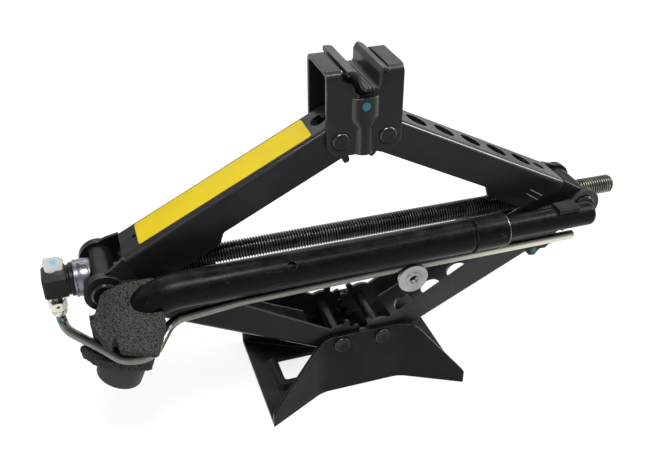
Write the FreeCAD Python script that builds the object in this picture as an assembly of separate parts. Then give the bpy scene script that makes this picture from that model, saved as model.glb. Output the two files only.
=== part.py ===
import FreeCAD, Part
import math
import os

# Scissor jack with its folding crank and wheel wrench stowed on it, half raised.
# Millimetres and degrees. Origin on the floor under the middle of the foot,
# X along the screw towards its free tip, Y towards the rear, Z up.

Vec = FreeCAD.Vector
X_AXIS = Vec(1, 0, 0)
Y_AXIS = Vec(0, 1, 0)
Z_AXIS = Vec(0, 0, 1)

os.makedirs("parts", exist_ok=True)

# Linkage
arm_length = 178.0
rest_angle = 27.0
pin_half_spacing = 16.0
base_pin_height = 44.0

# Sheet thicknesses and the clearances that every fit uses
arm_sheet = 2.5
head_sheet = 3.0
base_sheet = 3.0
side_gap = 0.4
running_fit = 0.05
open_pivot_fit = 0.25
seat_gap = 0.3

# How far cutting shapes run past the faces that they open
overrun = 1.0

# Arm channels
upper_arm_half_width = 16.8
ear_step_out = 4.0
ear_radius = 13.0
web_height = 10.8
flange_shallow = 13.0
lower_flange_start = 6.5
flange_deep = 19.0
flange_step_at = 95.0
flange_step_run = 6.0
flange_step_round = 3.0
flange_end_round = 10.0
flange_end_from_ear = 30.0
web_end_from_ear = 22.0
ear_step_run = 9.0
ear_bend_radius = 3.0
toothed_end_top = 13.0
upper_web_start = -6.5
lower_web_start = 13.0
channel_bend = 3.8
large_hole_diameter = 16.0
large_hole_pitch = 24.0
large_hole_first = 27.0
large_hole_count = 5
small_hole_diameter = 9.5
small_hole_at = 141.0
plain_arm_hole_diameter = 11.0
plain_arm_hole_at = 4.4
label_hole_diameter = 4.0
label_hole_from_end = 10.2
stop_tab_from = 127.0
stop_tab_length = 14.0
stop_tab_width = 10.0
stop_tab_height = 2.4

# Meshing toothed ends of the arms
tooth_count = 10
pressure_angle = 20.0
tooth_tip_height = 2.1
tooth_root_depth = 2.5
tooth_backlash = 0.35
teeth_per_arm = 4
tooth_sink = 1.0

# Rivets
rivet_shaft_radius = 4.5
rivet_head_radius = 6.2
rivet_head_height = 2.2
rivet_edge_round = 1.2

# Head bracket and saddle insert
head_half_length = 25.5
head_above_pins = 47.0
head_below_pins = 10.5
head_bend = 6.0
head_corner = 9.0
head_slot_half = 15.3
head_notch_depth = 18.5
head_notch_half = 5.5
head_notch_waist_in = 2.0
head_notch_round = 2.0
head_notch_bottom_round = 3.0
rib_wide_half = 10.0
rib_narrow_half = 6.3
rib_height = 3.0
rib_root = 1.0
rib_wide_length = 14.0
rib_taper_length = 7.0
saddle_sheet = 2.2
saddle_half_length = 22.5
saddle_groove_depth = 11.5
saddle_groove_left = -3.4
saddle_groove_right = 6.4
saddle_left_rise = 0.6
saddle_right_rise = 1.5
saddle_left_lip = 6.2
saddle_ridge_radius = 1.1
saddle_ridge_from_wall = 2.6
saddle_left_bend = 2.4
saddle_groove_bend = 2.0
saddle_right_bend = 3.2

# Foot
base_half_length = 75.0
base_tip_half_width = 50.0
base_waist_half = 31.0
base_waist_round = 22.0
base_wall_above_pins = 7.4
base_tip_height = 11.0
base_tip_round = 3.0
base_shoulder_left = 28.0
base_shoulder_right = 40.0
base_shoulder_round = 17.0
window_inner = 24.0
window_outer = 56.0
window_half_width = 12.0
window_corner = 2.5
panel_margin = 7.0
panel_rise = 4.0
panel_slope = 3.0

# Screw, trunnions and thrust bearing
screw_radius = 7.0
screw_tip_beyond_nut = 38.5
screw_tip_chamfer = 1.5
spigot_radius = 5.0
spigot_depth = 3.5
trunnion_radius = 11.0
trunnion_flat = 5.6
stub_radius = 6.0
stub_head_radius = 8.5
stub_head_height = 2.2
stub_head_chamfer = 1.2
shell_radius = 12.5
shell_length = 11.8
shell_wall = 1.2
shell_edge_round = 1.6
shell_lip_round = 0.5
race_thickness = 3.95
ball_radius = 1.3
ball_circle_radius = 9.0
ball_count = 10
ball_play = 0.05
cage_thickness = 1.2
collar_radius = 11.2
collar_thickness = 2.7
ring_radius = 10.0
ring_thickness = 2.0
ring_edge_chamfer = 0.5

# Drive block and folding crank
block_length = 15.0
block_half = 9.0
block_chamfer = 2.6
block_end_chamfer = 1.2
hex_edge_break = 0.8
rod_radius = 3.3
neck_from_block_end = 6.5
crank_collar_width = 10.6
crank_collar_height = 7.0
crank_band_height = 4.0
crank_collar_drop = 5.0
crank_cap_width = 13.0
crank_cap_height = 3.6
rod_below_tube = 16.4
rod_start_drop = 33.0
rod_elbow = (3.9, 14.0, 2.2)
rod_bulge_one = (35.2, 20.5, 7.2)
rod_bulge_two = (52.2, 25.0, 9.5)
rod_under_tube = (68.8, 15.2)
rod_slow_rise = (110.8, 19.4)
rod_level_from = 204.8
rod_reach = 361.8
rod_bends = (6.6, 30.0, 16.0, 12.0, 16.0, 60.0, 100.0)
eye_outer_radius = 11.0
eye_hole_radius = 3.3
eye_thickness = 2.8
eye_edge_chamfer = 0.5
eye_rim_radius = 5.8
eye_rim_height = 0.8
eye_from_neck = 234.2
eye_below_rod = 7.2

# Wheel wrench
tube_from_trunnion = 1.8
tube_above_screw = 4.6
tube_radius = 12.0
tube_wall = 2.2
tube_bend_radius = 30.0
tube_corner_from_axis = 25.6
tube_length = 219.5
leg_turn = 66.0
leg_length = 43.0
socket_radius = 15.0
socket_length = 21.0
socket_across_flats = 22.0
socket_hex_depth = 14.5
socket_edge_round = 1.5
socket_shoulder_length = 4.0
socket_shoulder_round = 3.0
sleeve_over_tube = 0.1
sleeve_groove_depth = 1.1
sleeve_groove_width = 3.0
sleeve_length = 28.0
sleeve_plug_length = 16.0
sleeve_plug_wall = 1.15
sleeve_edge_round = 1.2
inner_tube_wall = 2.0
inner_tube_out = 99.5
inner_tube_inside = 145.5
inner_tube_end_round = 4.0
tube_cross_hole_diameter = 6.0
cross_hole_from_end = 128.5
clip_sheet = 2.0
clip_length = 16.0
clip_from_end = 31.0
clip_half_span = 5.6
clip_leg = 2.2
clip_bend = 1.6

# Foam pad round the wrench leg
foam_bottom_drop = 38.3
foam_top_rise = 9.0
foam_roof_drop = 11.3
foam_slope = 0.318
foam_back_corner = 3.0
foam_rod_gap = 1.3
foam_upper_back = (-29.0, 5.5)
foam_upper_front = ((-37.0, 8.0, 10.0), (-27.5, 31.0, 1.0), (-24.6, 21.0, 0), (-22.6, 33.0, 1.0),
                    (-1.4, 42.5, 2.5), (7.5, 16.0, 4.0))
foam_lower_back = (-48.0, 5.5)
foam_lower_front = ((-46.0, -4.0, 5.0), (-39.0, 6.0, 8.0), (-25.0, 15.7, 12.0), (-5.5, 21.5, 2.0))

# Sticker on the plain upper arm
label_thickness = 0.3
label_from_pin = 13.4
label_length = 130.0
label_half_width = 12.4
label_corner = 2.0

# Sizes that follow from the driving ones
cos_rest = math.cos(math.radians(rest_angle))
sin_rest = math.sin(math.radians(rest_angle))
trunnion_x = pin_half_spacing + arm_length * cos_rest
screw_height = base_pin_height + arm_length * sin_rest
head_pin_height = screw_height + arm_length * sin_rest
head_top = head_pin_height + head_above_pins
head_bottom = head_pin_height - head_below_pins
upper_ear_outer = upper_arm_half_width + ear_step_out
upper_ear_inner = upper_ear_outer - arm_sheet
lower_arm_half_width = upper_ear_outer + side_gap + arm_sheet
base_wall_inner = lower_arm_half_width + side_gap
base_wall_outer = base_wall_inner + base_sheet
base_wall_top = base_pin_height + base_wall_above_pins
head_wall_inner = upper_arm_half_width + side_gap
head_wall_outer = head_wall_inner + head_sheet
stub_half = lower_arm_half_width + seat_gap
trunnion_outer = stub_half + stub_head_height
tube_front = trunnion_outer + tube_from_trunnion + tube_radius
tube_corner_x = tube_corner_from_axis - trunnion_x
tube_right_end = tube_corner_x + tube_length
tube_height = screw_height + tube_above_screw
inner_tube_radius = tube_radius - tube_wall - sleeve_plug_wall - running_fit
inner_tube_right_end = tube_right_end + inner_tube_out
inner_tube_left_end = tube_right_end - inner_tube_inside
rod_height = tube_height - rod_below_tube


def along_x(u, v):
    return Vec(u, 0, v)


def along_plan(u, v):
    return Vec(u, v, 0)


def across(u, v):
    return Vec(0, u, v)


def corner_cut(before, corner, after, radius):
    """Start, middle and end of the arc that rounds one corner."""
    back = (before - corner).normalize()
    ahead = (after - corner).normalize()
    half = back.getAngle(ahead) / 2
    middle = (back + ahead).normalize()
    reach = radius / math.tan(half)
    centre = corner + middle * (radius / math.sin(half))
    return corner + back * reach, centre - middle * radius, corner + ahead * reach


def rounded_edges(points, radii, closed):
    """Straight runs joined by tangent arcs at the corners with a radius."""
    count = len(points)
    stops = []
    for i, point in enumerate(points):
        is_end = not closed and i in (0, count - 1)
        if radii[i] <= 0 or is_end:
            stops.append((point, None, point))
        else:
            stops.append(corner_cut(points[i - 1], point, points[(i + 1) % count], radii[i]))
    edges = []
    for i in range(count):
        start, middle, end = stops[i]
        if middle is not None:
            edges.append(Part.Arc(start, middle, end).toShape())
        if closed or i < count - 1:
            following = stops[(i + 1) % count][0]
            if end.distanceToPoint(following) > 1e-6:
                edges.append(Part.LineSegment(end, following).toShape())
    return edges


def rounded_face(corners, place):
    """Closed face from (u, v) or (u, v, radius) corners on the given plane."""
    points = [place(corner[0], corner[1]) for corner in corners]
    radii = [corner[2] if len(corner) > 2 else 0 for corner in corners]
    return Part.Face(Part.Wire(rounded_edges(points, radii, True)))


def prism(face, start, sweep):
    moved = face.copy()
    moved.translate(start)
    return moved.extrude(sweep)


def through_y(face, half):
    """Prism of an XZ face from -half to half across the jack."""
    return prism(face, Y_AXIS * -half, Y_AXIS * (2 * half))


def turned(corners, base, axis):
    """Lathe a profile of (radius, along) corners about an axis through base."""
    solid = rounded_face(corners, along_x).revolve(Vec(0, 0, 0), Z_AXIS, 360)
    solid.Placement = FreeCAD.Placement(base, FreeCAD.Rotation(Z_AXIS, axis))
    return solid


def swept(points, radii, radius):
    """Round bar along straight runs with tangent bends."""
    path = Part.Wire(rounded_edges(points, radii, False))
    section = Part.Wire(Part.makeCircle(radius, points[0], points[1] - points[0]))
    return path.makePipeShell([section], True, False)


def strip_corners(centre_line, thickness):
    """Outline of a folded sheet from its (u, v, bend radius) centre line."""
    half = thickness / 2
    lefts = []
    rights = []
    for i, (u, v, radius) in enumerate(centre_line):
        into = None
        out = None
        if i > 0:
            into = Vec(u - centre_line[i - 1][0], v - centre_line[i - 1][1], 0).normalize()
        if i < len(centre_line) - 1:
            out = Vec(centre_line[i + 1][0] - u, centre_line[i + 1][1] - v, 0).normalize()
        into = into or out
        out = out or into
        normal_in = Vec(-into.y, into.x, 0)
        normal_out = Vec(-out.y, out.x, 0)
        reach = (normal_in + normal_out) * (half / (1 + normal_in.dot(normal_out)))
        turn = into.cross(out).z
        grow = half if turn < 0 else -half
        bend = 0 if radius == 0 else 1
        lefts.append((u + reach.x, v + reach.y, bend * (radius + grow)))
        rights.append((u - reach.x, v - reach.y, bend * (radius - grow)))
    return lefts + rights[::-1]


def placed(shape, origin, local_x, local_z):
    """Move a piece from its own frame to the jack's frame."""
    local_y = local_z.cross(local_x)
    matrix = FreeCAD.Matrix(local_x.x, local_y.x, local_z.x, origin.x,
                            local_x.y, local_y.y, local_z.y, origin.y,
                            local_x.z, local_y.z, local_z.z, origin.z,
                            0, 0, 0, 1)
    copy = shape.copy()
    copy.Placement = FreeCAD.Placement(matrix)
    return copy


def save(name, shape):
    shape.exportStep("parts/" + name + ".step")
    print(name, len(shape.Solids), "solid", round(shape.Volume), "mm3", shape.isValid())


# Toothed ends

def involute(radius, base_radius):
    ratio = radius / base_radius
    return math.sqrt(ratio * ratio - 1) - math.acos(1 / ratio)


def tooth_face(centre_angle):
    """One involute tooth, its angle counted from the arm towards its open side."""
    pitch = pin_half_spacing
    base_circle = pitch * math.cos(math.radians(pressure_angle))
    tip = pitch + tooth_tip_height
    flank = (base_circle + tip) / 2
    inside = pitch - tooth_root_depth - tooth_sink
    half_at_pitch = math.pi / (2 * tooth_count) - tooth_backlash / (2 * pitch)

    def point(radius, side):
        spread = half_at_pitch + involute(pitch, base_circle)
        spread -= involute(max(radius, base_circle), base_circle)
        angle = math.radians(centre_angle) + side * spread
        return along_x(radius * math.cos(angle), -radius * math.sin(angle))

    edges = [
        Part.LineSegment(point(inside, -1), point(base_circle, -1)).toShape(),
        Part.Arc(point(base_circle, -1), point(flank, -1), point(tip, -1)).toShape(),
        Part.Arc(point(tip, -1), point(tip, 0), point(tip, 1)).toShape(),
        Part.Arc(point(tip, 1), point(flank, 1), point(base_circle, 1)).toShape(),
        Part.LineSegment(point(base_circle, 1), point(inside, 1)).toShape(),
        Part.LineSegment(point(inside, 1), point(inside, -1)).toShape(),
    ]
    return Part.Face(Part.Wire(edges))


# Arms, built with the pin at the origin, the trunnion along X and the web on top

def arm_outline(phase, half, near_depth):
    """Side view of an arm as a prism across the jack, teeth and ear included."""
    root = pin_half_spacing - tooth_root_depth
    inset = root / 2
    ear_inset = ear_radius / 4
    body = rounded_face([
        (-inset, web_height), (arm_length - ear_inset, web_height),
        (arm_length - ear_inset, ear_inset - ear_radius),
        (arm_length - flange_end_from_ear, -flange_deep, flange_end_round),
        (flange_step_at + flange_step_run, -flange_deep, flange_step_round),
        (flange_step_at, -flange_shallow, flange_step_round),
        (0, -near_depth), (-inset, -inset)], along_x)
    solid = through_y(body, half)
    solid = solid.fuse(Part.makeCylinder(root, 2 * half, Y_AXIS * -half, Y_AXIS))
    ear_base = Vec(arm_length, -half, 0)
    solid = solid.fuse(Part.makeCylinder(ear_radius, 2 * half, ear_base, Y_AXIS))
    pitch_angle = 360 / tooth_count
    first = 180 - rest_angle + pitch_angle * (1 + phase)
    for i in range(teeth_per_arm):
        solid = solid.fuse(through_y(tooth_face(first - i * pitch_angle), half))
    return solid.removeSplitter()


def s_bend(start, end, thickness, side, limits):
    """Plan of a flange that steps sideways between two offsets."""
    first, last = limits
    middle = ((start[0] + end[0]) / 2, (start[1] + end[1]) / 2)
    edges = []
    for shift in (0, -thickness):
        line = [(first, start[1] + shift), (start[0], start[1] + shift),
                (middle[0], middle[1] + shift), (end[0], end[1] + shift), (last, end[1] + shift)]
        points = [along_plan(u, side * v) for u, v in line]
        edges.append(rounded_edges(points, [0, ear_bend_radius, 0, ear_bend_radius, 0], False))
    outer, inner = edges
    ends = []
    for index in (0, -1):
        outer_end = outer[index].Vertexes[index].Point
        inner_end = inner[index].Vertexes[index].Point
        ends.append(Part.LineSegment(outer_end, inner_end).toShape())
    loop = Part.__sortEdges__(outer + inner + ends)
    return Part.Face(Part.Wire(loop))


def channel_arm(half_width, step_out, web_start, near_depth, phase, pin_clearance):
    """U channel with its toothed end, stepped ears and the two pivot holes."""
    inner = half_width - arm_sheet
    floor = -2 * flange_deep
    web_end = arm_length - web_end_from_ear
    section = rounded_face([
        (-half_width, floor), (-half_width, web_height, channel_bend),
        (half_width, web_height, channel_bend), (half_width, floor),
        (inner, floor), (inner, web_height - arm_sheet, channel_bend - arm_sheet),
        (-inner, web_height - arm_sheet, channel_bend - arm_sheet), (-inner, floor)], across)
    channel = prism(section, X_AXIS * web_start, X_AXIS * (web_end - web_start))
    tall = 2 * flange_deep + ear_radius
    for side in (-1, 1):
        near = rounded_face([(-2 * ear_radius, side * half_width), (web_start, side * half_width),
                             (web_start, side * inner), (-2 * ear_radius, side * inner)], along_plan)
        channel = channel.fuse(prism(near, Z_AXIS * floor, Z_AXIS * (toothed_end_top - floor)))
        limits = (web_end, arm_length + 2 * ear_radius)
        if step_out > 0:
            step_start = web_end + overrun
            far = s_bend((step_start, half_width), (step_start + ear_step_run, half_width + step_out),
                         arm_sheet, side, limits)
        else:
            far = rounded_face([(limits[0], side * half_width), (limits[1], side * half_width),
                                (limits[1], side * inner), (limits[0], side * inner)], along_plan)
        channel = channel.fuse(prism(far, Z_AXIS * floor, Z_AXIS * tall))
    full = half_width + step_out + overrun
    arm = channel.common(arm_outline(phase, full, near_depth))
    bores = ((0, rivet_shaft_radius + pin_clearance), (arm_length, stub_radius + running_fit))
    for place, radius in bores:
        arm = arm.cut(Part.makeCylinder(radius, 2 * full, Vec(place, -full, 0), Y_AXIS))
    return arm.removeSplitter()


def drilled(arm, holes):
    """Round holes through the web at the given places along the arm."""
    for place, diameter in holes:
        drill = Part.makeCylinder(diameter / 2, web_height, Vec(place, 0, arm_sheet), Z_AXIS)
        arm = arm.cut(drill)
    return arm


lightening_holes = [(large_hole_first + i * large_hole_pitch, large_hole_diameter)
                    for i in range(large_hole_count)]
lightening_holes.append((small_hole_at, small_hole_diameter))
plain_holes = [(plain_arm_hole_at, plain_arm_hole_diameter),
               (arm_length - web_end_from_ear - label_hole_from_end, label_hole_diameter)]

# Direction along each arm and the way its web faces
upper_left = (Vec(-pin_half_spacing, 0, head_pin_height), Vec(-cos_rest, 0, -sin_rest),
              Vec(-sin_rest, 0, cos_rest))
upper_right = (Vec(pin_half_spacing, 0, head_pin_height), Vec(cos_rest, 0, -sin_rest),
               Vec(sin_rest, 0, cos_rest))
lower_left = (Vec(-pin_half_spacing, 0, base_pin_height), Vec(-cos_rest, 0, sin_rest),
              Vec(-sin_rest, 0, -cos_rest))
lower_right = (Vec(pin_half_spacing, 0, base_pin_height), Vec(cos_rest, 0, sin_rest),
               Vec(sin_rest, 0, -cos_rest))

upper_shape = (upper_arm_half_width, ear_step_out, upper_web_start, flange_shallow)
lower_shape = (lower_arm_half_width, 0, lower_web_start, lower_flange_start)
left_upper_arm = channel_arm(*upper_shape, 0, running_fit)
right_upper_arm = channel_arm(*upper_shape, 0.5, open_pivot_fit)
left_lower_arm = channel_arm(*lower_shape, 0, running_fit)
right_lower_arm = channel_arm(*lower_shape, 0.5, running_fit)
stop_tab = Part.makeBox(stop_tab_length, stop_tab_width, stop_tab_height + arm_sheet)
stop_tab_side = lower_arm_half_width - channel_bend - stop_tab_width
stop_tab.translate(Vec(stop_tab_from, stop_tab_side, web_height - arm_sheet))
right_lower_arm = right_lower_arm.fuse(stop_tab)

save("upper_left_arm", placed(drilled(left_upper_arm, plain_holes), *upper_left))
save("upper_right_arm", placed(drilled(right_upper_arm, lightening_holes), *upper_right))
save("lower_left_arm", placed(left_lower_arm, *lower_left))
save("lower_right_arm", placed(drilled(right_lower_arm, lightening_holes), *lower_right))

label_outline = rounded_face([
    (label_from_pin, -label_half_width, label_corner),
    (label_from_pin + label_length, -label_half_width, label_corner),
    (label_from_pin + label_length, label_half_width, label_corner),
    (label_from_pin, label_half_width, label_corner)], along_plan)
label = prism(label_outline, Z_AXIS * web_height, Z_AXIS * label_thickness)
save("label_sticker", placed(label, *upper_left))


# Rivets of the head and the foot

def rivet(x, z, half_grip):
    head_end = half_grip + rivet_head_height
    return turned([
        (0, -head_end), (rivet_head_radius, -head_end, rivet_edge_round),
        (rivet_head_radius, -half_grip), (rivet_shaft_radius, -half_grip),
        (rivet_shaft_radius, half_grip), (rivet_head_radius, half_grip),
        (rivet_head_radius, head_end, rivet_edge_round), (0, head_end)], Vec(x, 0, z), Y_AXIS)


for side_name, side in (("left", -1), ("right", 1)):
    save("base_pin_" + side_name, rivet(side * pin_half_spacing, base_pin_height, base_wall_outer))
    save("head_pin_" + side_name, rivet(side * pin_half_spacing, head_pin_height, head_wall_outer))


def pin_holes(shape, height, half):
    for side in (-1, 1):
        start = Vec(side * pin_half_spacing, -half, height)
        shape = shape.cut(Part.makeCylinder(rivet_shaft_radius + running_fit, 2 * half, start, Y_AXIS))
    return shape


# Head bracket: bent sheet, notched top, one embossed rib in each wall

def rib_solid(front_y, outwards):
    """Rounded rib that runs down a wall and narrows on its way."""
    top = head_top - head_notch_depth
    stations = [(top, rib_wide_half), (top - rib_wide_length, rib_wide_half),
                (top - rib_wide_length - rib_taper_length, rib_narrow_half), (head_bottom, rib_narrow_half)]
    wires = []
    for height, half in stations:
        root = front_y - outwards * rib_root
        left = Vec(-half, root, height)
        right = Vec(half, root, height)
        crest = Vec(0, front_y + outwards * rib_height, height)
        edges = [Part.Arc(left, crest, right).toShape(), Part.LineSegment(right, left).toShape()]
        wires.append(Part.Wire(edges))
    return Part.makeLoft(wires, True, True)


head_section = rounded_face([
    (-head_wall_outer, head_bottom), (-head_wall_outer, head_top, head_bend),
    (head_wall_outer, head_top, head_bend), (head_wall_outer, head_bottom),
    (head_wall_inner, head_bottom), (head_wall_inner, head_top - head_sheet, head_bend - head_sheet),
    (-head_wall_inner, head_top - head_sheet, head_bend - head_sheet),
    (-head_wall_inner, head_bottom)], across)
head = prism(head_section, X_AXIS * -head_half_length, X_AXIS * (2 * head_half_length))
for wall_y, outwards in ((-head_wall_outer, -1), (head_wall_outer, 1)):
    head = head.fuse(rib_solid(wall_y, outwards))
for wall_y, outwards in ((-head_wall_outer, -1), (head_wall_outer, 1)):
    hollow = rib_solid(wall_y, outwards)
    hollow.translate(Y_AXIS * (-outwards * head_sheet))
    head = head.cut(hollow)
head_reach = head_wall_outer + rib_height + overrun
head_silhouette = rounded_face([
    (-head_half_length, head_bottom, head_corner), (head_half_length, head_bottom, head_corner),
    (head_half_length, head_top + overrun), (-head_half_length, head_top + overrun)], along_x)
head = head.common(through_y(head_silhouette, head_reach))
notch_shoulder = head_top - head_bend
notch_middle = head_top - head_notch_depth / 2
notch_mid_half = (head_notch_half + head_slot_half) / 2 - head_notch_waist_in
notch_bottom = head_top - head_notch_depth
notch_right = saddle_groove_right + saddle_sheet / 2 + seat_gap
lip_rest = head_top - head_sheet - seat_gap
notch = rounded_face([
    (-head_slot_half, head_top + overrun), (-head_slot_half, notch_shoulder, head_notch_round),
    (-notch_mid_half, notch_middle, head_notch_round),
    (-head_notch_half, notch_bottom, head_notch_bottom_round),
    (head_notch_half, notch_bottom, head_notch_bottom_round),
    (notch_right, notch_middle, head_notch_round), (notch_right, lip_rest), (head_slot_half, lip_rest),
    (head_slot_half, head_top + overrun)], along_x)
head = head.cut(through_y(notch, head_reach))
head = pin_holes(head, head_pin_height, head_reach)
save("head_bracket", head.removeSplitter())

# Saddle insert: two rolled lips with a ridged groove between them
lip_x = head_slot_half - seat_gap - saddle_sheet / 2
saddle_line = [
    (-lip_x, head_top - head_sheet, 0), (-lip_x, head_top + saddle_left_rise, saddle_left_bend),
    (-lip_x + saddle_left_lip, head_top + saddle_left_rise, saddle_left_bend),
    (saddle_groove_left, head_top - saddle_groove_depth, saddle_groove_bend),
    (saddle_groove_right, head_top - saddle_groove_depth, saddle_groove_bend),
    (saddle_groove_right, head_top + saddle_right_rise, saddle_right_bend),
    (lip_x, head_top + saddle_right_rise, saddle_right_bend), (lip_x, head_top - head_sheet, 0)]
saddle = through_y(rounded_face(strip_corners(saddle_line, saddle_sheet), along_x), saddle_half_length)
ridge_x = saddle_groove_right - saddle_ridge_from_wall - saddle_sheet / 2
ridge_base = Vec(ridge_x, -saddle_half_length, head_top - saddle_groove_depth + saddle_sheet / 2)
ridge = Part.makeCylinder(saddle_ridge_radius, 2 * saddle_half_length, ridge_base, Y_AXIS)
save("saddle_insert", saddle.fuse(ridge).removeSplitter())

# Foot: waisted floor plate between two walls that flare and fall towards the tips
flare_run = base_half_length - base_waist_half
flare_out = base_tip_half_width - base_wall_outer
flare_turn = math.atan2(flare_out, flare_run)


def waisted_face(inset, end_x):
    """Plan of the foot, moved inwards by the inset and cut at the given end."""
    waist_x = base_waist_half + inset * math.tan(flare_turn / 2)
    waist_y = base_wall_outer - inset
    tip_y = waist_y + (end_x - waist_x) * math.tan(flare_turn)
    bend = base_waist_round + inset
    front = [(-end_x, -tip_y), (-waist_x, -waist_y, bend), (waist_x, -waist_y, bend), (end_x, -tip_y)]
    rear = [(-corner[0], -corner[1]) + tuple(corner[2:]) for corner in front]
    return rounded_face(front + rear, along_plan)


def floor_face(side, margin):
    """Window of one wing with a margin all round it."""
    inner = side * (window_inner - margin)
    outer = side * (window_outer + margin)
    half = window_half_width + margin
    return rounded_face([(inner, -half, window_corner), (outer, -half, window_corner),
                         (outer, half, window_corner), (inner, half, window_corner)], along_plan)


def raised_panel(side, base_z):
    """Block with sloping sides for the panel pressed up round a window."""
    wires = []
    for height, margin in ((0, panel_margin), (panel_rise, panel_margin - panel_slope)):
        outline = floor_face(side, margin).OuterWire
        outline.translate(Z_AXIS * (base_z + height))
        wires.append(outline)
    return Part.makeLoft(wires, True, True)


foot_outer = waisted_face(0, base_half_length)
foot_inner = waisted_face(base_sheet, base_half_length + base_sheet)
wall_height = base_wall_top + overrun
walls = foot_outer.extrude(Z_AXIS * wall_height).cut(foot_inner.extrude(Z_AXIS * wall_height))
wall_side = rounded_face([
    (-base_half_length, 0), (-base_half_length, base_tip_height, base_tip_round),
    (-base_shoulder_left, base_wall_top, base_shoulder_round),
    (base_shoulder_right, base_wall_top, base_shoulder_round),
    (base_half_length, base_tip_height, base_tip_round), (base_half_length, 0)], along_x)
walls = walls.common(through_y(wall_side, 2 * base_tip_half_width))
foot = walls.fuse(foot_outer.extrude(Z_AXIS * base_sheet))
through_floor = Z_AXIS * (base_sheet + panel_rise + 2 * overrun)
for side in (-1, 1):
    foot = foot.fuse(raised_panel(side, base_sheet)).cut(raised_panel(side, 0))
    foot = foot.cut(prism(floor_face(side, 0), Z_AXIS * -overrun, through_floor))
foot = pin_holes(foot, base_pin_height, base_wall_outer + overrun)
save("base_plate", foot.removeSplitter())


# Trunnions: a barrel across the jack, stubs through the ears, peened heads outside

def trunnion(x, flat_side):
    barrel_half = upper_ear_inner - seat_gap
    half = [(trunnion_radius, barrel_half), (stub_radius, barrel_half),
            (stub_radius, stub_half), (stub_head_radius, stub_half),
            (stub_head_radius, trunnion_outer - stub_head_chamfer),
            (stub_head_radius - stub_head_chamfer, trunnion_outer), (0, trunnion_outer)]
    mirrored = [(radius, -along) for radius, along in half[::-1]]
    barrel = turned(mirrored + half, Vec(x, 0, screw_height), Y_AXIS)
    reach = 2 * trunnion_radius
    barrel = barrel.cut(Part.makeCylinder(screw_radius + running_fit, 2 * reach,
                                          Vec(x - reach, 0, screw_height), X_AXIS))
    flat = Part.makeBox(reach, 2 * barrel_half, 2 * reach)
    flat_x = x + flat_side * trunnion_flat - (reach if flat_side < 0 else 0)
    flat.translate(Vec(flat_x, -barrel_half, screw_height - reach))
    return barrel.cut(flat)


save("left_trunnion", trunnion(-trunnion_x, -1))
save("right_trunnion_nut", trunnion(trunnion_x, 1))

# Thrust bearing between the left trunnion and the screw's collar, from right to left
thrust_face = -trunnion_x - trunnion_flat
screw_bore = screw_radius + running_fit
race_outer = shell_radius - shell_wall - seat_gap
ball_centre = thrust_face - shell_wall - race_thickness - ball_radius - ball_play
turning_race_end = ball_centre - ball_radius - ball_play - race_thickness


def ring_corners(outer, inner, length, chamfer):
    """Half section of a plain ring with its outer edges broken."""
    return [(inner, 0), (outer - chamfer, 0), (outer, chamfer), (outer, length - chamfer),
            (outer - chamfer, length), (inner, length)]


def ring_between(outer, inner, x_from, x_to):
    """Turned ring about the screw between two places along it."""
    return turned(ring_corners(outer, inner, x_to - x_from, ring_edge_chamfer),
                  Vec(x_from, 0, screw_height), X_AXIS)


shell_corners = [
    (screw_bore + seat_gap, 0), (shell_radius, 0, shell_edge_round),
    (shell_radius, shell_length, shell_lip_round),
    (shell_radius - shell_wall, shell_length), (shell_radius - shell_wall, shell_wall),
    (screw_bore + seat_gap, shell_wall)]
save("thrust_shell", turned(shell_corners, Vec(thrust_face, 0, screw_height), X_AXIS * -1))
fixed_race_left = ball_centre + ball_radius + ball_play
save("thrust_race_fixed", ring_between(race_outer, screw_bore + seat_gap, fixed_race_left,
                                       fixed_race_left + race_thickness))
save("thrust_race_turning", ring_between(race_outer, screw_bore, turning_race_end,
                                         turning_race_end + race_thickness))
cage = turned(ring_corners(race_outer - seat_gap, screw_bore + seat_gap, cage_thickness, 0),
              Vec(ball_centre - cage_thickness / 2, 0, screw_height), X_AXIS)
balls = []
for i in range(ball_count):
    angle = 2 * math.pi * i / ball_count
    centre = Vec(ball_centre, ball_circle_radius * math.cos(angle),
                 screw_height + ball_circle_radius * math.sin(angle))
    cage = cage.cut(Part.makeCylinder(ball_radius + ball_play, 4 * cage_thickness,
                                      centre - X_AXIS * 2 * cage_thickness, X_AXIS))
    balls.append(Part.makeSphere(ball_radius, centre))
save("thrust_cage", cage)
save("thrust_balls", Part.makeCompound(balls))
collar_right = turning_race_end
collar_left = collar_right - collar_thickness
ring_left = collar_left - ring_thickness
save("flange_collar", ring_between(collar_radius, screw_bore, collar_left, collar_right))
save("retaining_ring", ring_between(ring_radius, screw_bore, ring_left, collar_left))

# Screw: spigot in the drive block, plain crest diameter to the free tip
block_right = ring_left
block_left = block_right - block_length
screw_tip = trunnion_x + screw_tip_beyond_nut
screw_length = screw_tip - block_right
screw = turned([
    (0, -spigot_depth), (spigot_radius, -spigot_depth), (spigot_radius, 0), (screw_radius, 0),
    (screw_radius, screw_length - screw_tip_chamfer), (screw_radius - screw_tip_chamfer, screw_length),
    (0, screw_length)], Vec(block_right, 0, screw_height), X_AXIS)
save("lead_screw", screw)

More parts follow.
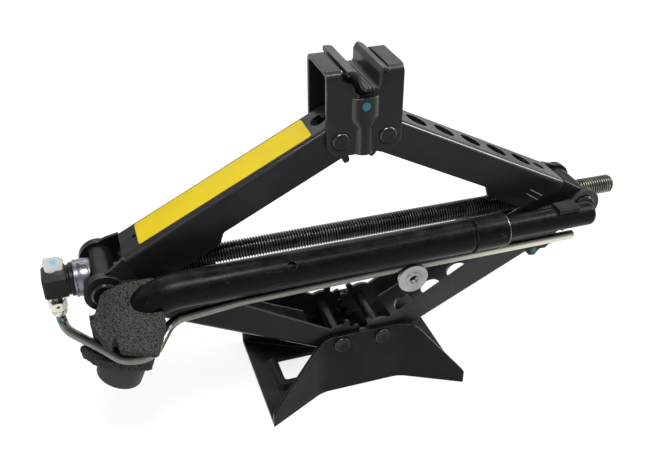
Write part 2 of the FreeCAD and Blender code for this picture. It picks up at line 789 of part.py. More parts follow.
# Drive block with the spigot's bore and the crank's cross bore
neck_x = block_left + neck_from_block_end
block_section = rounded_face([
    (-block_half, -block_half + block_chamfer), (-block_half + block_chamfer, -block_half),
    (block_half - block_chamfer, -block_half), (block_half, -block_half + block_chamfer),
    (block_half, block_half - block_chamfer), (block_half - block_chamfer, block_half),
    (-block_half + block_chamfer, block_half), (-block_half, block_half - block_chamfer)], across)
block = prism(block_section, Vec(block_left, 0, screw_height), X_AXIS * block_length)
end_edges = [edge for edge in block.Edges if abs(edge.BoundBox.XMax - block_left) < 0.01]
block = block.makeChamfer(block_end_chamfer, end_edges)
block = block.cut(Part.makeCylinder(spigot_radius, spigot_depth,
                                    Vec(block_right - spigot_depth, 0, screw_height), X_AXIS))
block = block.cut(Part.makeCylinder(rod_radius + running_fit, 4 * block_half,
                                    Vec(neck_x, 0, screw_height - 2 * block_half), Z_AXIS))
save("drive_block", block)


# Crank: bent rod, hexagon collar and cap on its neck, hook eye near its far end

def hexagon(width, height, bore, base):
    """Upright hexagon collar with broken edges and a bore."""
    corner_radius = width / math.sqrt(3)
    corners = [(corner_radius * math.cos(math.radians(60 * i)),
                corner_radius * math.sin(math.radians(60 * i))) for i in range(6)]
    body = rounded_face(corners, along_plan).extrude(Z_AXIS * height)
    trim = turned([(0, 0), (width / 2, 0), (corner_radius, hex_edge_break),
                   (corner_radius, height - hex_edge_break), (width / 2, height), (0, height)],
                  Vec(0, 0, 0), Z_AXIS)
    body = body.common(trim)
    if bore > 0:
        body = body.cut(Part.makeCylinder(bore, height, Vec(0, 0, 0), Z_AXIS))
    body.translate(base)
    return body


block_bottom = screw_height - block_half
block_top = screw_height + block_half
collar_top_z = block_bottom - crank_collar_drop
rod_low = screw_height - rod_start_drop
neck_top = block_top + seat_gap
bulge_one, bulge_two = [Vec(neck_x + run, -tube_front - out, rod_low + up)
                        for run, out, up in (rod_bulge_one, rod_bulge_two)]
elbow = Vec(neck_x + rod_elbow[0], -rod_elbow[1], rod_low + rod_elbow[2])
rod_path = [Vec(neck_x, 0, neck_top), Vec(neck_x, 0, rod_low), elbow, bulge_one, bulge_two]
for run, up in (rod_under_tube, rod_slow_rise):
    rod_path.append(Vec(neck_x + run, -tube_front, rod_low + up))
for run in (rod_level_from, rod_reach):
    rod_path.append(Vec(neck_x + run, -tube_front, rod_height))
save("crank_rod", swept(rod_path, (0,) + rod_bends + (0,), rod_radius))
collar_base = Vec(neck_x, 0, collar_top_z - crank_collar_height)
collar_bore = rod_radius + running_fit
collar = hexagon(crank_collar_width, crank_collar_height, collar_bore, collar_base)
band = turned(ring_corners(crank_collar_width / 2, collar_bore, crank_band_height, hex_edge_break),
              collar_base - Z_AXIS * crank_band_height, Z_AXIS)
save("crank_collar", collar.fuse(band))
save("crank_cap", hexagon(crank_cap_width, crank_cap_height, 0, Vec(neck_x, 0, neck_top)))
eye_place = Vec(neck_x + eye_from_neck, -tube_front - rod_radius, rod_height - eye_below_rod)
eye = turned(ring_corners(eye_outer_radius, eye_hole_radius, eye_thickness, eye_edge_chamfer),
             eye_place, Y_AXIS * -1)
rim = turned(ring_corners(eye_rim_radius, eye_hole_radius, eye_thickness + eye_rim_height, eye_edge_chamfer),
             eye_place, Y_AXIS * -1)
save("crank_eye", eye.fuse(rim))

# Wheel wrench: bent main tube, socket on its leg, sleeve and telescoping thin tube
tube_axis_point = Vec(tube_corner_x, -tube_front, tube_height)
leg_direction = Vec(-math.cos(math.radians(leg_turn)), 0, -math.sin(math.radians(leg_turn)))
leg_end = tube_axis_point + leg_direction * leg_length
tube_path = [Vec(tube_right_end, -tube_front, tube_height), tube_axis_point, leg_end]
tube_bends = (0, tube_bend_radius, 0)
tube = swept(tube_path, tube_bends, tube_radius).cut(swept(tube_path, tube_bends, tube_radius - tube_wall))
cross_hole = Part.makeCylinder(tube_cross_hole_diameter / 2, tube_radius + overrun,
                               Vec(tube_right_end - cross_hole_from_end, -tube_front, tube_height),
                               Vec(0, -1, 1))
save("wrench_tube", tube.cut(cross_hole))

hex_radius = socket_across_flats / math.sqrt(3)
socket = turned([(0, 0), (tube_radius, 0), (socket_radius, socket_shoulder_length, socket_shoulder_round),
                 (socket_radius, socket_length, socket_edge_round), (0, socket_length)],
                leg_end, leg_direction)
hex_corners = [(hex_radius * math.cos(math.radians(60 * i)), hex_radius * math.sin(math.radians(60 * i)))
               for i in range(6)]
hex_hole = rounded_face(hex_corners, along_plan).extrude(Z_AXIS * (socket_hex_depth + overrun))
hex_hole.Placement = FreeCAD.Placement(leg_end + leg_direction * (socket_length - socket_hex_depth),
                                       FreeCAD.Rotation(Z_AXIS, leg_direction))
save("wrench_socket", socket.cut(hex_hole))

sleeve_bore = inner_tube_radius + running_fit
sleeve_groove = tube_radius - sleeve_groove_depth
sleeve_radius = tube_radius + sleeve_over_tube
sleeve_start = Vec(tube_right_end, -tube_front, tube_height)
sleeve = turned([
    (sleeve_bore, -sleeve_plug_length), (tube_radius - tube_wall, -sleeve_plug_length),
    (tube_radius - tube_wall, 0), (sleeve_groove, 0),
    (sleeve_groove, sleeve_groove_width), (sleeve_radius, sleeve_groove_width),
    (sleeve_radius, sleeve_length, sleeve_edge_round), (sleeve_bore, sleeve_length)],
    sleeve_start, X_AXIS)
save("wrench_sleeve", sleeve)

inner_length = inner_tube_right_end - inner_tube_left_end
inner_bore = inner_tube_radius - inner_tube_wall
inner_tube = turned([
    (inner_bore, 0), (inner_tube_radius, 0), (inner_tube_radius, inner_length, inner_tube_end_round),
    (0, inner_length), (0, inner_length - inner_tube_wall), (inner_bore, inner_length - inner_tube_wall)],
    Vec(inner_tube_left_end, -tube_front, tube_height), X_AXIS)
save("wrench_inner_tube", inner_tube)

# Stow tab: a folded strip that lies on top of the thin tube
clip_top = tube_height + inner_tube_radius + running_fit + clip_sheet / 2
clip_line = []
for side, ends in ((-1, (clip_top - clip_leg, clip_top)), (1, (clip_top, clip_top - clip_leg))):
    for height in ends:
        bend = clip_bend if height == clip_top else 0
        clip_line.append((-tube_front + side * clip_half_span, height, bend))
clip = prism(rounded_face(strip_corners(clip_line, clip_sheet), across),
             X_AXIS * (inner_tube_right_end - clip_from_end),
             X_AXIS * clip_length)
save("stow_clip", clip)

# Foam pad: two layers round the leg, joined behind it, with the crank lying between them
foam_back = -trunnion_outer - seat_gap
foam_bottom = screw_height - foam_bottom_drop
foam_roof = screw_height - foam_roof_drop
foam_top = screw_height + foam_top_rise


def foam_layer(back, front, base_z, top_z):
    """Layer from its back ends and its (along, forward, round) front corners off the tube's bend."""
    corners = [(tube_corner_x + back[0], foam_back, foam_back_corner)]
    corners += [(tube_corner_x + along, -tube_front - out, bend) for along, out, bend in front]
    corners.append((tube_corner_x + back[1], foam_back))
    return prism(rounded_face(corners, along_plan), Z_AXIS * base_z, Z_AXIS * (top_z - base_z))


foam = foam_layer(foam_upper_back, foam_upper_front, foam_roof, foam_top)
drape_run = 2 * tube_front
drape = rounded_face([(foam_back, foam_top), (foam_back - drape_run, foam_top),
                      (foam_back - drape_run, foam_top - foam_slope * drape_run)], across)
foam = foam.cut(prism(drape, X_AXIS * (neck_x - overrun), X_AXIS * -2 * neck_x))
foam = foam.fuse(foam_layer(foam_lower_back, foam_lower_front, foam_bottom, foam_roof))
rod_room = rod_radius + foam_rod_gap
slit_corners = [(0, rod_low - rod_room)]
for point in (elbow, bulge_one, bulge_two):
    slit_corners.append((math.hypot(point.x - neck_x, point.y), point.z - rod_room))
slit_corners += [(rod_level_from, bulge_two.z - rod_room), (rod_level_from, foam_roof), (0, foam_roof)]
slit = turned(slit_corners, Vec(neck_x, 0, 0), Z_AXIS)
slit_bends = (0,) + rod_bends[2:4] + (0,)
slit_line = [(point.x, point.y, bend) for point, bend in zip(rod_path[2:6], slit_bends)]
slit_plan = strip_corners(slit_line, 2 * rod_room)[:len(slit_line)]
reach = 2 * rod_level_from
slit_plan += [(reach, slit_plan[-1][1]), (reach, -reach), (-reach, -reach), (-reach, slit_plan[0][1])]
in_front = rounded_face(slit_plan, along_plan).extrude(Z_AXIS * reach)
under_tube = rod_path[5]
swing_inside = math.hypot(under_tube.x - neck_x, under_tube.y) - rod_room
not_swept = Part.makeCylinder(swing_inside, reach, Vec(neck_x, 0, 0), Z_AXIS)
foam = foam.cut(slit.common(in_front)).cut(slit.cut(not_swept))
foam = foam.cut(swept(tube_path, tube_bends, tube_radius + seat_gap))
room_radius = socket_radius + seat_gap
socket_room = turned([
    (0, -seat_gap), (tube_radius + seat_gap, -seat_gap), (room_radius, socket_shoulder_length),
    (room_radius, socket_length + overrun), (0, socket_length + overrun)], leg_end, leg_direction)
save("foam_pad", foam.cut(socket_room).removeSplitter())
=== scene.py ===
# %% [markdown]
# # A scissor jack with its folded crank and stowed wheel wrench
#
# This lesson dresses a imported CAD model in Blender. The frame holds every piece of the jack in
# metres, at its real place, and grouped into the bodies that move. We never move a CAD piece. We
# give it a finish, and where a surface needs more than flat solids can show, such as the thread of
# the screw or the open cells of the foam, we model a new piece and let it ride on the same body.

# %% Load the frame
import math

import bmesh
import bpy
from mathutils import Euler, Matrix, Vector, noise


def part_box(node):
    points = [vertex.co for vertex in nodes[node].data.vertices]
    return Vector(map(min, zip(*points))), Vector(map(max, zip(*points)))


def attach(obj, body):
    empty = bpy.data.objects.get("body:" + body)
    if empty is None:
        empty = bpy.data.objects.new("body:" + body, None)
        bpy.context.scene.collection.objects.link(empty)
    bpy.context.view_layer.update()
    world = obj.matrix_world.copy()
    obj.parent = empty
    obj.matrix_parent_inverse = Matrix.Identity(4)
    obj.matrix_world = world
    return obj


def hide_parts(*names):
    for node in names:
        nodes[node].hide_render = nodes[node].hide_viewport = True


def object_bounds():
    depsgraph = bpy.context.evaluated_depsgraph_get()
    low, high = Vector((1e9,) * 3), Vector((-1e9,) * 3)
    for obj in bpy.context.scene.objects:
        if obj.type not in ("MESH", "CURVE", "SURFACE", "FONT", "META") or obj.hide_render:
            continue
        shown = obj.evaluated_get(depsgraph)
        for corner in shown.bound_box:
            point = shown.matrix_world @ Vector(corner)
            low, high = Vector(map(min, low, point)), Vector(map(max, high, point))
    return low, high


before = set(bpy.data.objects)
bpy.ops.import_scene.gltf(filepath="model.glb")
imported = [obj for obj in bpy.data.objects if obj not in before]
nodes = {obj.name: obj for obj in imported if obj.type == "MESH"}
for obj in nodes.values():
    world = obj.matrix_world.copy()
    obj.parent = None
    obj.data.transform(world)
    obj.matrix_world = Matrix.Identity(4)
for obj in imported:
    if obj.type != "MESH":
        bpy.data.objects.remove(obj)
cad_low, cad_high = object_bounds()
scene = bpy.context.scene
print("pieces", len(nodes), "size in mm", [round(side * 1000, 1) for side in cad_high - cad_low])

# %% [markdown]
# ## The camera
#
# The picture looks down on the jack from the front left, close enough that the near end of the
# wrench looks bigger than the far end. A camera match on the pins, the screw and the foot gave the
# place, the turn and the lens.

# %% Camera
lens = 45.21
sensor_width = 36.0
nearest_seen = 0.01
camera_place = (-0.1713, -0.4629, 0.4401)
yaw = math.radians(18.25)
pitch = math.radians(32.95)

camera = bpy.data.objects.new("camera", bpy.data.cameras.new("camera"))
camera.data.lens = lens
camera.data.sensor_width = sensor_width
camera.data.clip_start = nearest_seen
camera.location = camera_place
camera.rotation_euler = (math.radians(90) - pitch, 0, -yaw)
scene.collection.objects.link(camera)
scene.camera = camera
scene.view_settings.view_transform = "Standard"
print("camera at", [round(value, 3) for value in camera.location])

# %% [markdown]
# ## Helpers for node trees
#
# Every finish here is drawn by nodes. A few short helpers keep those trees readable: one adds a
# node, one links a socket or sets a plain value, two do sums, one maps a value smoothly from one
# span to another, and one lays one colour over another by a mask.

# %% Node helpers
def add(tree, kind, **settings):
    """Add a shader node and set its options."""
    made = tree.nodes.new("ShaderNode" + kind)
    for name, value in settings.items():
        setattr(made, name, value)
    return made


def feed(tree, socket, value):
    """Link an output to a socket, or set the socket to a plain value."""
    if isinstance(value, bpy.types.NodeSocket):
        tree.links.new(value, socket)
    else:
        socket.default_value = value


def sums(tree, operation, first, second=0.0, clamp=False):
    """One sum with numbers."""
    made = add(tree, "Math", operation=operation, use_clamp=clamp)
    feed(tree, made.inputs[0], first)
    feed(tree, made.inputs[1], second)
    return made.outputs[0]


def vectors(tree, operation, first, second, output="Vector"):
    """One sum with vectors."""
    made = add(tree, "VectorMath", operation=operation)
    feed(tree, made.inputs[0], first)
    feed(tree, made.inputs["Scale"] if operation == "SCALE" else made.inputs[1], second)
    return made.outputs[output]


def ramp(tree, value, between=(0.0, 1.0), to=(0.0, 1.0)):
    """Carry a value smoothly from one span to another and hold it at the ends."""
    made = add(tree, "MapRange", interpolation_type="SMOOTHSTEP")
    for socket, number in zip(made.inputs, (value, *between, *to)):
        feed(tree, socket, number)
    return made.outputs[0]


def lay_over(tree, mask, under, over):
    """Show one colour over another where the mask is high."""
    made = add(tree, "Mix", data_type="RGBA")
    feed(tree, made.inputs[0], mask)
    feed(tree, made.inputs[6], under)
    feed(tree, made.inputs[7], over)
    return made.outputs[2]


def grey(level, warm=0.0):
    """A grey, or one that is a little warmer or colder than neutral."""
    return (level * (1 + warm), level, level * (1 - warm), 1.0)


print("node helpers ready")

# %% [markdown]
# ## The floor
#
# The jack stands on a plain white sheet. To the camera and to mirror-like metal the floor is white
# with only a soft shadow, so its material glows a little for those rays. All other rays see an
# ordinary pale surface, so the glow shows in mirrors but lights no matt surface.

# %% Floor
floor_half = 6.0
floor_drop = 0.0002
floor_grey = 0.80
floor_grey_seen = 0.26
floor_glow = 0.82

floor_shape = bmesh.new()
bmesh.ops.create_grid(floor_shape, x_segments=1, y_segments=1, size=floor_half)
floor_mesh = bpy.data.meshes.new("floor")
floor_shape.to_mesh(floor_mesh)
floor_shape.free()
floor = bpy.data.objects.new("floor", floor_mesh)
floor.location.z = cad_low.z - floor_drop
scene.collection.objects.link(floor)

floor_paint = bpy.data.materials.new("white_floor")
floor_paint.use_nodes = True
tree = floor_paint.node_tree
tree.nodes.clear()
rays = add(tree, "LightPath").outputs
seen = sums(tree, "ADD", rays["Is Camera Ray"], rays["Is Glossy Ray"])
seen = sums(tree, "ADD", seen, rays["Is Transmission Ray"], clamp=True)
matt = add(tree, "BsdfDiffuse")
feed(tree, matt.inputs["Color"], lay_over(tree, seen, grey(floor_grey), grey(floor_grey_seen)))
glow = add(tree, "Emission")
feed(tree, glow.inputs["Strength"], sums(tree, "MULTIPLY", seen, floor_glow))
both = add(tree, "AddShader")
feed(tree, both.inputs[0], matt.outputs[0])
feed(tree, both.inputs[1], glow.outputs[0])
feed(tree, add(tree, "OutputMaterial").inputs["Surface"], both.outputs[0])
floor.data.materials.append(floor_paint)
print("floor at", round(floor.location.z * 1000, 2), "mm")

# %% [markdown]
# ## The light
#
# Black paint shows mostly what it mirrors, so the lamps are placed for their reflections. The room
# is white at the height of the horizon and grey above. A wide panel behind the jack shines on the
# upper faces, two narrow strips draw the bright lines along the bent edges, two squarer panels
# overhead give the tube its broad highlights near the elbow and at its far end, a panel at the
# right lights the faces that look that way, and a weak one in front lifts the rest.

# %% Light
horizon_grey = 1.0
ceiling_grey = 0.24
ceiling_from = (0.02, 0.45)

world = bpy.data.worlds.new("studio")
scene.world = world
world.use_nodes = True
tree = world.node_tree
tree.nodes.clear()
split = add(tree, "SeparateXYZ")
feed(tree, split.inputs[0], add(tree, "TexCoord").outputs["Generated"])
upwards = ramp(tree, split.outputs["Z"], between=ceiling_from)
sky = add(tree, "Background")
feed(tree, sky.inputs["Color"], lay_over(tree, upwards, grey(horizon_grey), grey(ceiling_grey)))
feed(tree, add(tree, "OutputWorld").inputs["Surface"], sky.outputs[0])


def soft_panel(name, place, width, height, power):
    """A rectangular lamp that faces the middle of the jack; its power is in watts."""
    lamp = bpy.data.lights.new(name, "AREA")
    lamp.shape = "RECTANGLE"
    lamp.size = width
    lamp.size_y = height
    lamp.energy = power
    holder = bpy.data.objects.new(name, lamp)
    holder.location = place
    inwards = (cad_low + cad_high) / 2 - Vector(place)
    holder.rotation_euler = inwards.to_track_quat("-Z", "Y").to_euler()
    scene.collection.objects.link(holder)


soft_panel("panel_behind", (0.15, 1.20, 1.00), width=1.7, height=0.45, power=6.5)
soft_panel("strip_above", (0.20, 0.42, 1.05), width=1.2, height=0.10, power=1.5)
soft_panel("strip_front", (-0.05, -0.45, 1.15), width=1.0, height=0.06, power=3.0)
soft_panel("panel_elbow", (-0.12, -0.45, 1.13), width=0.34, height=0.30, power=6.0)
soft_panel("panel_far", (0.72, -0.22, 1.10), width=0.34, height=0.20, power=3.0)
soft_panel("strip_right", (1.10, -0.15, 0.80), width=0.36, height=0.60, power=8.0)
soft_panel("panel_front", (-0.75, -1.1, 0.75), width=0.8, height=0.6, power=0.6)

# %% [markdown]
# ## Shared effects
#
# Some effects belong to many finishes. Each is a node group that is built once and placed in a
# material with its own values. A group gives out masks, heights and normals, and the shader itself
# stays in the material. All patterns are drawn on Object coordinates, because every piece has its
# place in its mesh and so a pattern never slides.

# %% Group helpers
def new_group(name, inputs, outputs):
    """An empty group with named sockets: its tree, its given values and its results."""
    tree = bpy.data.node_groups.new(name, "ShaderNodeTree")
    kinds = {float: "NodeSocketFloat", tuple: "NodeSocketVector"}
    for label, value in inputs.items():
        socket = tree.interface.new_socket(label, in_out="INPUT", socket_type=kinds[type(value)])
        socket.default_value = value
    for label, kind in outputs.items():
        tree.interface.new_socket(label, in_out="OUTPUT", socket_type=kinds[kind])
    start = tree.nodes.new("NodeGroupInput")
    end = tree.nodes.new("NodeGroupOutput")
    return tree, start.outputs, end.inputs


def use(tree, group, **values):
    """Place a group in a tree and give it values."""
    made = tree.nodes.new("ShaderNodeGroup")
    made.node_tree = group
    for label, value in values.items():
        feed(tree, made.inputs[label], value)
    return made.outputs


def object_place(tree):
    """The place on the object, in metres."""
    return add(tree, "TexCoord").outputs["Object"]


def object_noise(tree, scale, detail=2.0, roughness=0.5):
    """A cloudy noise from 0 to 1."""
    made = add(tree, "TexNoise")
    feed(tree, made.inputs["Vector"], object_place(tree))
    feed(tree, made.inputs["Scale"], scale)
    feed(tree, made.inputs["Detail"], detail)
    feed(tree, made.inputs["Roughness"], roughness)
    return made.outputs["Fac"]


def tell_group(group):
    print("group", group.name, "nodes", len(group.nodes))


print("group helpers ready")

# %% [markdown]
# ## Rounded and worn edges
#
# No real sheet has a perfectly sharp edge: the paint rounds it and handling wears it. Every mesh
# could be beveled, but the CAD meshes stay as they are, so a Bevel node rounds the normal instead.
# Where the rounded normal leaves the true one there is an edge, and a patchy noise picks the parts
# of it that are worn.

# %% Worn edges
worn_edges, given, result = new_group(
    "worn_edges", {"Radius": 0.0006}, {"Normal": tuple, "Edge": float, "Wear": float})
rounded = add(worn_edges, "Bevel", samples=6)
feed(worn_edges, rounded.inputs["Radius"], given["Radius"])
true_normal = add(worn_edges, "NewGeometry").outputs["True Normal"]
turn = vectors(worn_edges, "DOT_PRODUCT", rounded.outputs["Normal"], true_normal, "Value")
edge = ramp(worn_edges, turn, between=(0.72, 0.97), to=(1, 0))
patchy = object_noise(worn_edges, scale=140.0, detail=4.0, roughness=0.6)
patchy = ramp(worn_edges, patchy, between=(0.45, 0.68))
feed(worn_edges, result["Edge"], edge)
feed(worn_edges, result["Wear"], sums(worn_edges, "MULTIPLY", edge, patchy))
feed(worn_edges, result["Normal"], rounded.outputs["Normal"])
tell_group(worn_edges)

# %% [markdown]
# ## Bends rubbed to a shine
#
# A folded sheet is touched most along its bends, and there its coat is rubbed smooth. The jack's
# sheets are bent about lines that run along it, so a bend is found by its normal: it turns partly
# to the side, while a web looks up or down and a wall looks fully to the side. One small group
# then serves every folded piece, with no mask to paint.

# %% Rubbed bends
rubbed_bends, given, result = new_group("rubbed_bends", {}, {"Mask": float})
facing = add(rubbed_bends, "SeparateXYZ")
feed(rubbed_bends, facing.inputs[0], add(rubbed_bends, "TexCoord").outputs["Normal"])
sideways = sums(rubbed_bends, "ABSOLUTE", facing.outputs["Y"])
off_web = ramp(rubbed_bends, sideways, between=(0.06, 0.30))
off_wall = ramp(rubbed_bends, sideways, between=(0.80, 0.97), to=(1, 0))
feed(rubbed_bends, result["Mask"], sums(rubbed_bends, "MULTIPLY", off_web, off_wall))
tell_group(rubbed_bends)

# %% [markdown]
# ## Ripple of a dip coat
#
# A dipped coat dries with a faint ripple, and its gloss is cloudy. Two noises give both: a fine one
# is the height for a bump, and a coarse one is the cloud that varies tint and gloss.

# %% Coat ripple
coat_ripple, given, result = new_group(
    "coat_ripple", {"Scale": 700.0, "Cloud": 28.0}, {"Height": float, "Cloud": float})
ripple = object_noise(coat_ripple, given["Scale"], detail=2.0, roughness=0.45)
cloud = object_noise(coat_ripple, given["Cloud"], detail=3.0, roughness=0.55)
feed(coat_ripple, result["Height"], ripple)
feed(coat_ripple, result["Cloud"], ramp(coat_ripple, cloud, between=(0.32, 0.70)))
tell_group(coat_ripple)

# %% [markdown]
# ## Dust that settles on top
#
# Dust lies on faces that look up, in clouds with a few coarser specks. The upward part of the
# normal limits the mask, and two noises give the clouds and the specks.

# %% Settled dust
settled_dust, given, result = new_group(
    "settled_dust", {"Patches": 60.0, "Amount": 0.3}, {"Mask": float})
facing = add(settled_dust, "SeparateXYZ")
feed(settled_dust, facing.inputs[0], add(settled_dust, "NewGeometry").outputs["Normal"])
upward = ramp(settled_dust, facing.outputs["Z"], between=(0.25, 0.95))
cloud = object_noise(settled_dust, given["Patches"], detail=5.0, roughness=0.65)
cloud = ramp(settled_dust, cloud, between=(0.35, 0.72), to=(0.15, 1))
specks = object_noise(settled_dust, scale=2600.0, detail=1.0)
specks = ramp(settled_dust, specks, between=(0.60, 0.72))
dust = sums(settled_dust, "MULTIPLY", sums(settled_dust, "MAXIMUM", cloud, specks), upward)
feed(settled_dust, result["Mask"], sums(settled_dust, "MULTIPLY", dust, given["Amount"]))
tell_group(settled_dust)

# %% [markdown]
# ## Thin handling scratches
#
# Handling leaves thin scratches that run mostly one way. The borders of stretched Voronoi cells are
# such thin lines, and a noise breaks them up so that only a few short pieces are left.

# %% Fine scratches
scratch_turn = (0.3, 0.5, 0.9)

fine_scratches, given, result = new_group(
    "fine_scratches", {"Length": (30.0, 30.0, 260.0), "Share": 0.5}, {"Mask": float})
where = add(fine_scratches, "Mapping")
feed(fine_scratches, where.inputs["Vector"], object_place(fine_scratches))
feed(fine_scratches, where.inputs["Scale"], given["Length"])
where.inputs["Rotation"].default_value = scratch_turn
cells = add(fine_scratches, "TexVoronoi", feature="DISTANCE_TO_EDGE")
feed(fine_scratches, cells.inputs["Vector"], where.outputs["Vector"])
cells.inputs["Scale"].default_value = 1.0
line = ramp(fine_scratches, cells.outputs["Distance"], between=(0.004, 0.016), to=(1, 0))
broken = object_noise(fine_scratches, scale=45.0, detail=2.0)
broken = ramp(fine_scratches, broken, between=(0.56, 0.66))
line = sums(fine_scratches, "MULTIPLY", line, broken)
feed(fine_scratches, result["Mask"], sums(fine_scratches, "MULTIPLY", line, given["Share"]))
tell_group(fine_scratches)

# %% [markdown]
# ## Turning marks
#
# Turned and drawn steel keeps fine parallel marks from its tool. A noise that is squeezed along
# some axes gives them, and each metal says which way they run.

# %% Turned marks
turned_marks, given, result = new_group(
    "turned_marks", {"Stretch": (1.0, 0.04, 0.04)}, {"Height": float})
where = add(turned_marks, "Mapping")
feed(turned_marks, where.inputs["Vector"], object_place(turned_marks))
feed(turned_marks, where.inputs["Scale"], given["Stretch"])
marks = add(turned_marks, "TexNoise")
feed(turned_marks, marks.inputs["Vector"], where.outputs["Vector"])
marks.inputs["Scale"].default_value = 2600.0
marks.inputs["Detail"].default_value = 3.0
feed(turned_marks, result["Height"], marks.outputs["Fac"])
tell_group(turned_marks)

# %% [markdown]
# ## Dab of checking paint
#
# Whoever checked the jack left small dabs of paint on it. A dab is too thin to be worth a mesh, so
# it is a mask: the distance from its middle, with a little noise that makes its rim uneven.

# %% Paint dab
rim_wander = 0.0012

paint_dab, given, result = new_group(
    "paint_dab", {"Centre": (0.0, 0.0, 0.0), "Radius": 0.003}, {"Mask": float})
gap = vectors(paint_dab, "DISTANCE", object_place(paint_dab), given["Centre"], "Value")
wander = sums(paint_dab, "MULTIPLY", object_noise(paint_dab, scale=520.0), rim_wander)
reach = sums(paint_dab, "ADD", sums(paint_dab, "SUBTRACT", gap, rim_wander / 2), wander)
reach = sums(paint_dab, "DIVIDE", reach, given["Radius"])
feed(paint_dab, result["Mask"], ramp(paint_dab, reach, between=(0.86, 1.0), to=(1, 0)))
tell_group(paint_dab)

# %% [markdown]
# ## Short straight scratch
#
# Two bright scratches stand side by side on the upper right arm. Each is the set of points close to
# a short straight line: the place is projected onto the line, and its distance from there is the
# mask.

# %% Short scratch
scratch_width = 0.0003

short_scratch, given, result = new_group(
    "short_scratch", {"Start": (0.0, 0.0, 0.0), "Along": (0.01, 0.0, 0.0)}, {"Mask": float})
spot = vectors(short_scratch, "SUBTRACT", object_place(short_scratch), given["Start"])
share = vectors(short_scratch, "DOT_PRODUCT", spot, given["Along"], "Value")
whole = vectors(short_scratch, "DOT_PRODUCT", given["Along"], given["Along"], "Value")
share = sums(short_scratch, "DIVIDE", share, whole, clamp=True)
nearest = vectors(short_scratch, "SCALE", given["Along"], share)
away = vectors(short_scratch, "DISTANCE", spot, nearest, "Value")
away = sums(short_scratch, "DIVIDE", away, scratch_width)
feed(short_scratch, result["Mask"], ramp(short_scratch, away, between=(0.3, 1.0), to=(1, 0)))
tell_group(short_scratch)

# %% [markdown]
# ## Helpers for finishes
#
# Each finish is one material. One helper makes it with its plain values set on the shader, one
# turns a height into a bumped normal, and one puts the finish on CAD pieces, which keep their own
# meshes.

# %% Finish helpers
def new_finish(name, metal=0.0, specular=0.5):
    """A new material: the material, its tree and its shader's sockets."""
    paint = bpy.data.materials.new(name)
    paint.use_nodes = True
    shader = paint.node_tree.nodes["Principled BSDF"]
    shader.inputs["Metallic"].default_value = metal
    shader.inputs["Specular IOR Level"].default_value = specular
    return paint, paint.node_tree, shader.inputs


def raised(tree, height, distance, normal=None):
    """The normal of a surface that a height lifts by a distance in metres."""
    bump = add(tree, "Bump")
    bump.inputs["Strength"].default_value = 1.0
    bump.inputs["Distance"].default_value = distance
    feed(tree, bump.inputs["Height"], height)
    if normal is not None:
        feed(tree, bump.inputs["Normal"], normal)
    return bump.outputs["Normal"]


def dress(paint, *names):
    """Give CAD pieces a finish."""
    for name in names:
        piece = nodes[name]
        piece.data.materials.clear()
        piece.data.materials.append(paint)


print("finish helpers ready")

# %% [markdown]
# ## Black dip coat
#
# The arms, the foot, the head and the pins share one black dip coat. It is almost black and mirrors
# little, with a faint ripple, cloudy gloss, some dust on its upper faces and a little wear on its
# edges. Edges and rubbed bends mirror more, so the mask that finds them also raises the specular
# level. One function makes all its versions, because they differ only in a few values.

# %% Black coat
coat_scratch_share = 0.18
coat_ripple_height = 0.00003
rubbed_shine = 0.75
rubbed_gloss = 0.12
dust_roughness = 0.3
cloud_tint = 0.25
cloud_gloss = 0.05
scratch_tint = grey(0.07)
dust_tint = grey(0.16, 0.06)
bare_steel = grey(0.45)


def black_coat(name, base, gloss, dust, shine=0.17, edge=0.0006, wear=0.10, rubbed=True, dabs=(),
               scratches=()):
    """A black coat with its own darkness, gloss, dust, mirror, edge radius and wear tint."""
    paint, tree, shader = new_finish(name)
    edges = use(tree, worn_edges, Radius=edge)
    ripple = use(tree, coat_ripple)
    dusty = use(tree, settled_dust, Amount=dust)["Mask"]
    scratched = use(tree, fine_scratches, Share=coat_scratch_share)["Mask"]
    rough = ramp(tree, ripple["Cloud"], to=(gloss + cloud_gloss, gloss - cloud_gloss))
    rough = sums(tree, "ADD", rough, sums(tree, "MULTIPLY", dusty, dust_roughness))
    bright = edges["Edge"]
    if rubbed:
        bends = use(tree, rubbed_bends)["Mask"]
        bright = sums(tree, "MAXIMUM", bright, bends)
        rough = sums(tree, "SUBTRACT", rough, sums(tree, "MULTIPLY", bends, rubbed_gloss))
    darker = grey(base * (1 - cloud_tint), -0.04)
    lighter = grey(base * (1 + cloud_tint), -0.02)
    colour = lay_over(tree, ripple["Cloud"], darker, lighter)
    colour = lay_over(tree, edges["Wear"], colour, grey(wear))
    colour = lay_over(tree, scratched, colour, scratch_tint)
    colour = lay_over(tree, dusty, colour, dust_tint)
    for centre, radius, tint in dabs:
        dab = use(tree, paint_dab, Centre=centre, Radius=radius)["Mask"]
        colour = lay_over(tree, dab, colour, tint)
    for start, way in scratches:
        bare = use(tree, short_scratch, Start=start, Along=way)["Mask"]
        colour = lay_over(tree, bare, colour, bare_steel)
    feed(tree, shader["Base Color"], colour)
    feed(tree, shader["Specular IOR Level"], ramp(tree, bright, to=(shine, rubbed_shine)))
    feed(tree, shader["Roughness"], rough)
    feed(tree, shader["Normal"],
         raised(tree, ripple["Height"], coat_ripple_height, edges["Normal"]))
    return paint


print("black coat ready")

# %% [markdown]
# ## Black pieces
#
# The foot stands in the shade and is duller, the right lower arm is a lighter and more satin copy
# as painted light, the cross bars are a darker copy as painted shade, the head has a dab of teal
# checking paint on its rib, and the upper right arm has its two scratches.

# %% Coats of the black pieces
teal = (0.019, 0.130, 0.152, 1.0)
head_dab = ((-0.0003, -0.023, 0.2287), 0.0030, teal)
arm_scratches = (((0.1291, -0.0168, 0.1395), (0.0102, 0, -0.0071)),
                 ((0.1317, -0.0168, 0.1423), (0.0104, 0, -0.0065)))

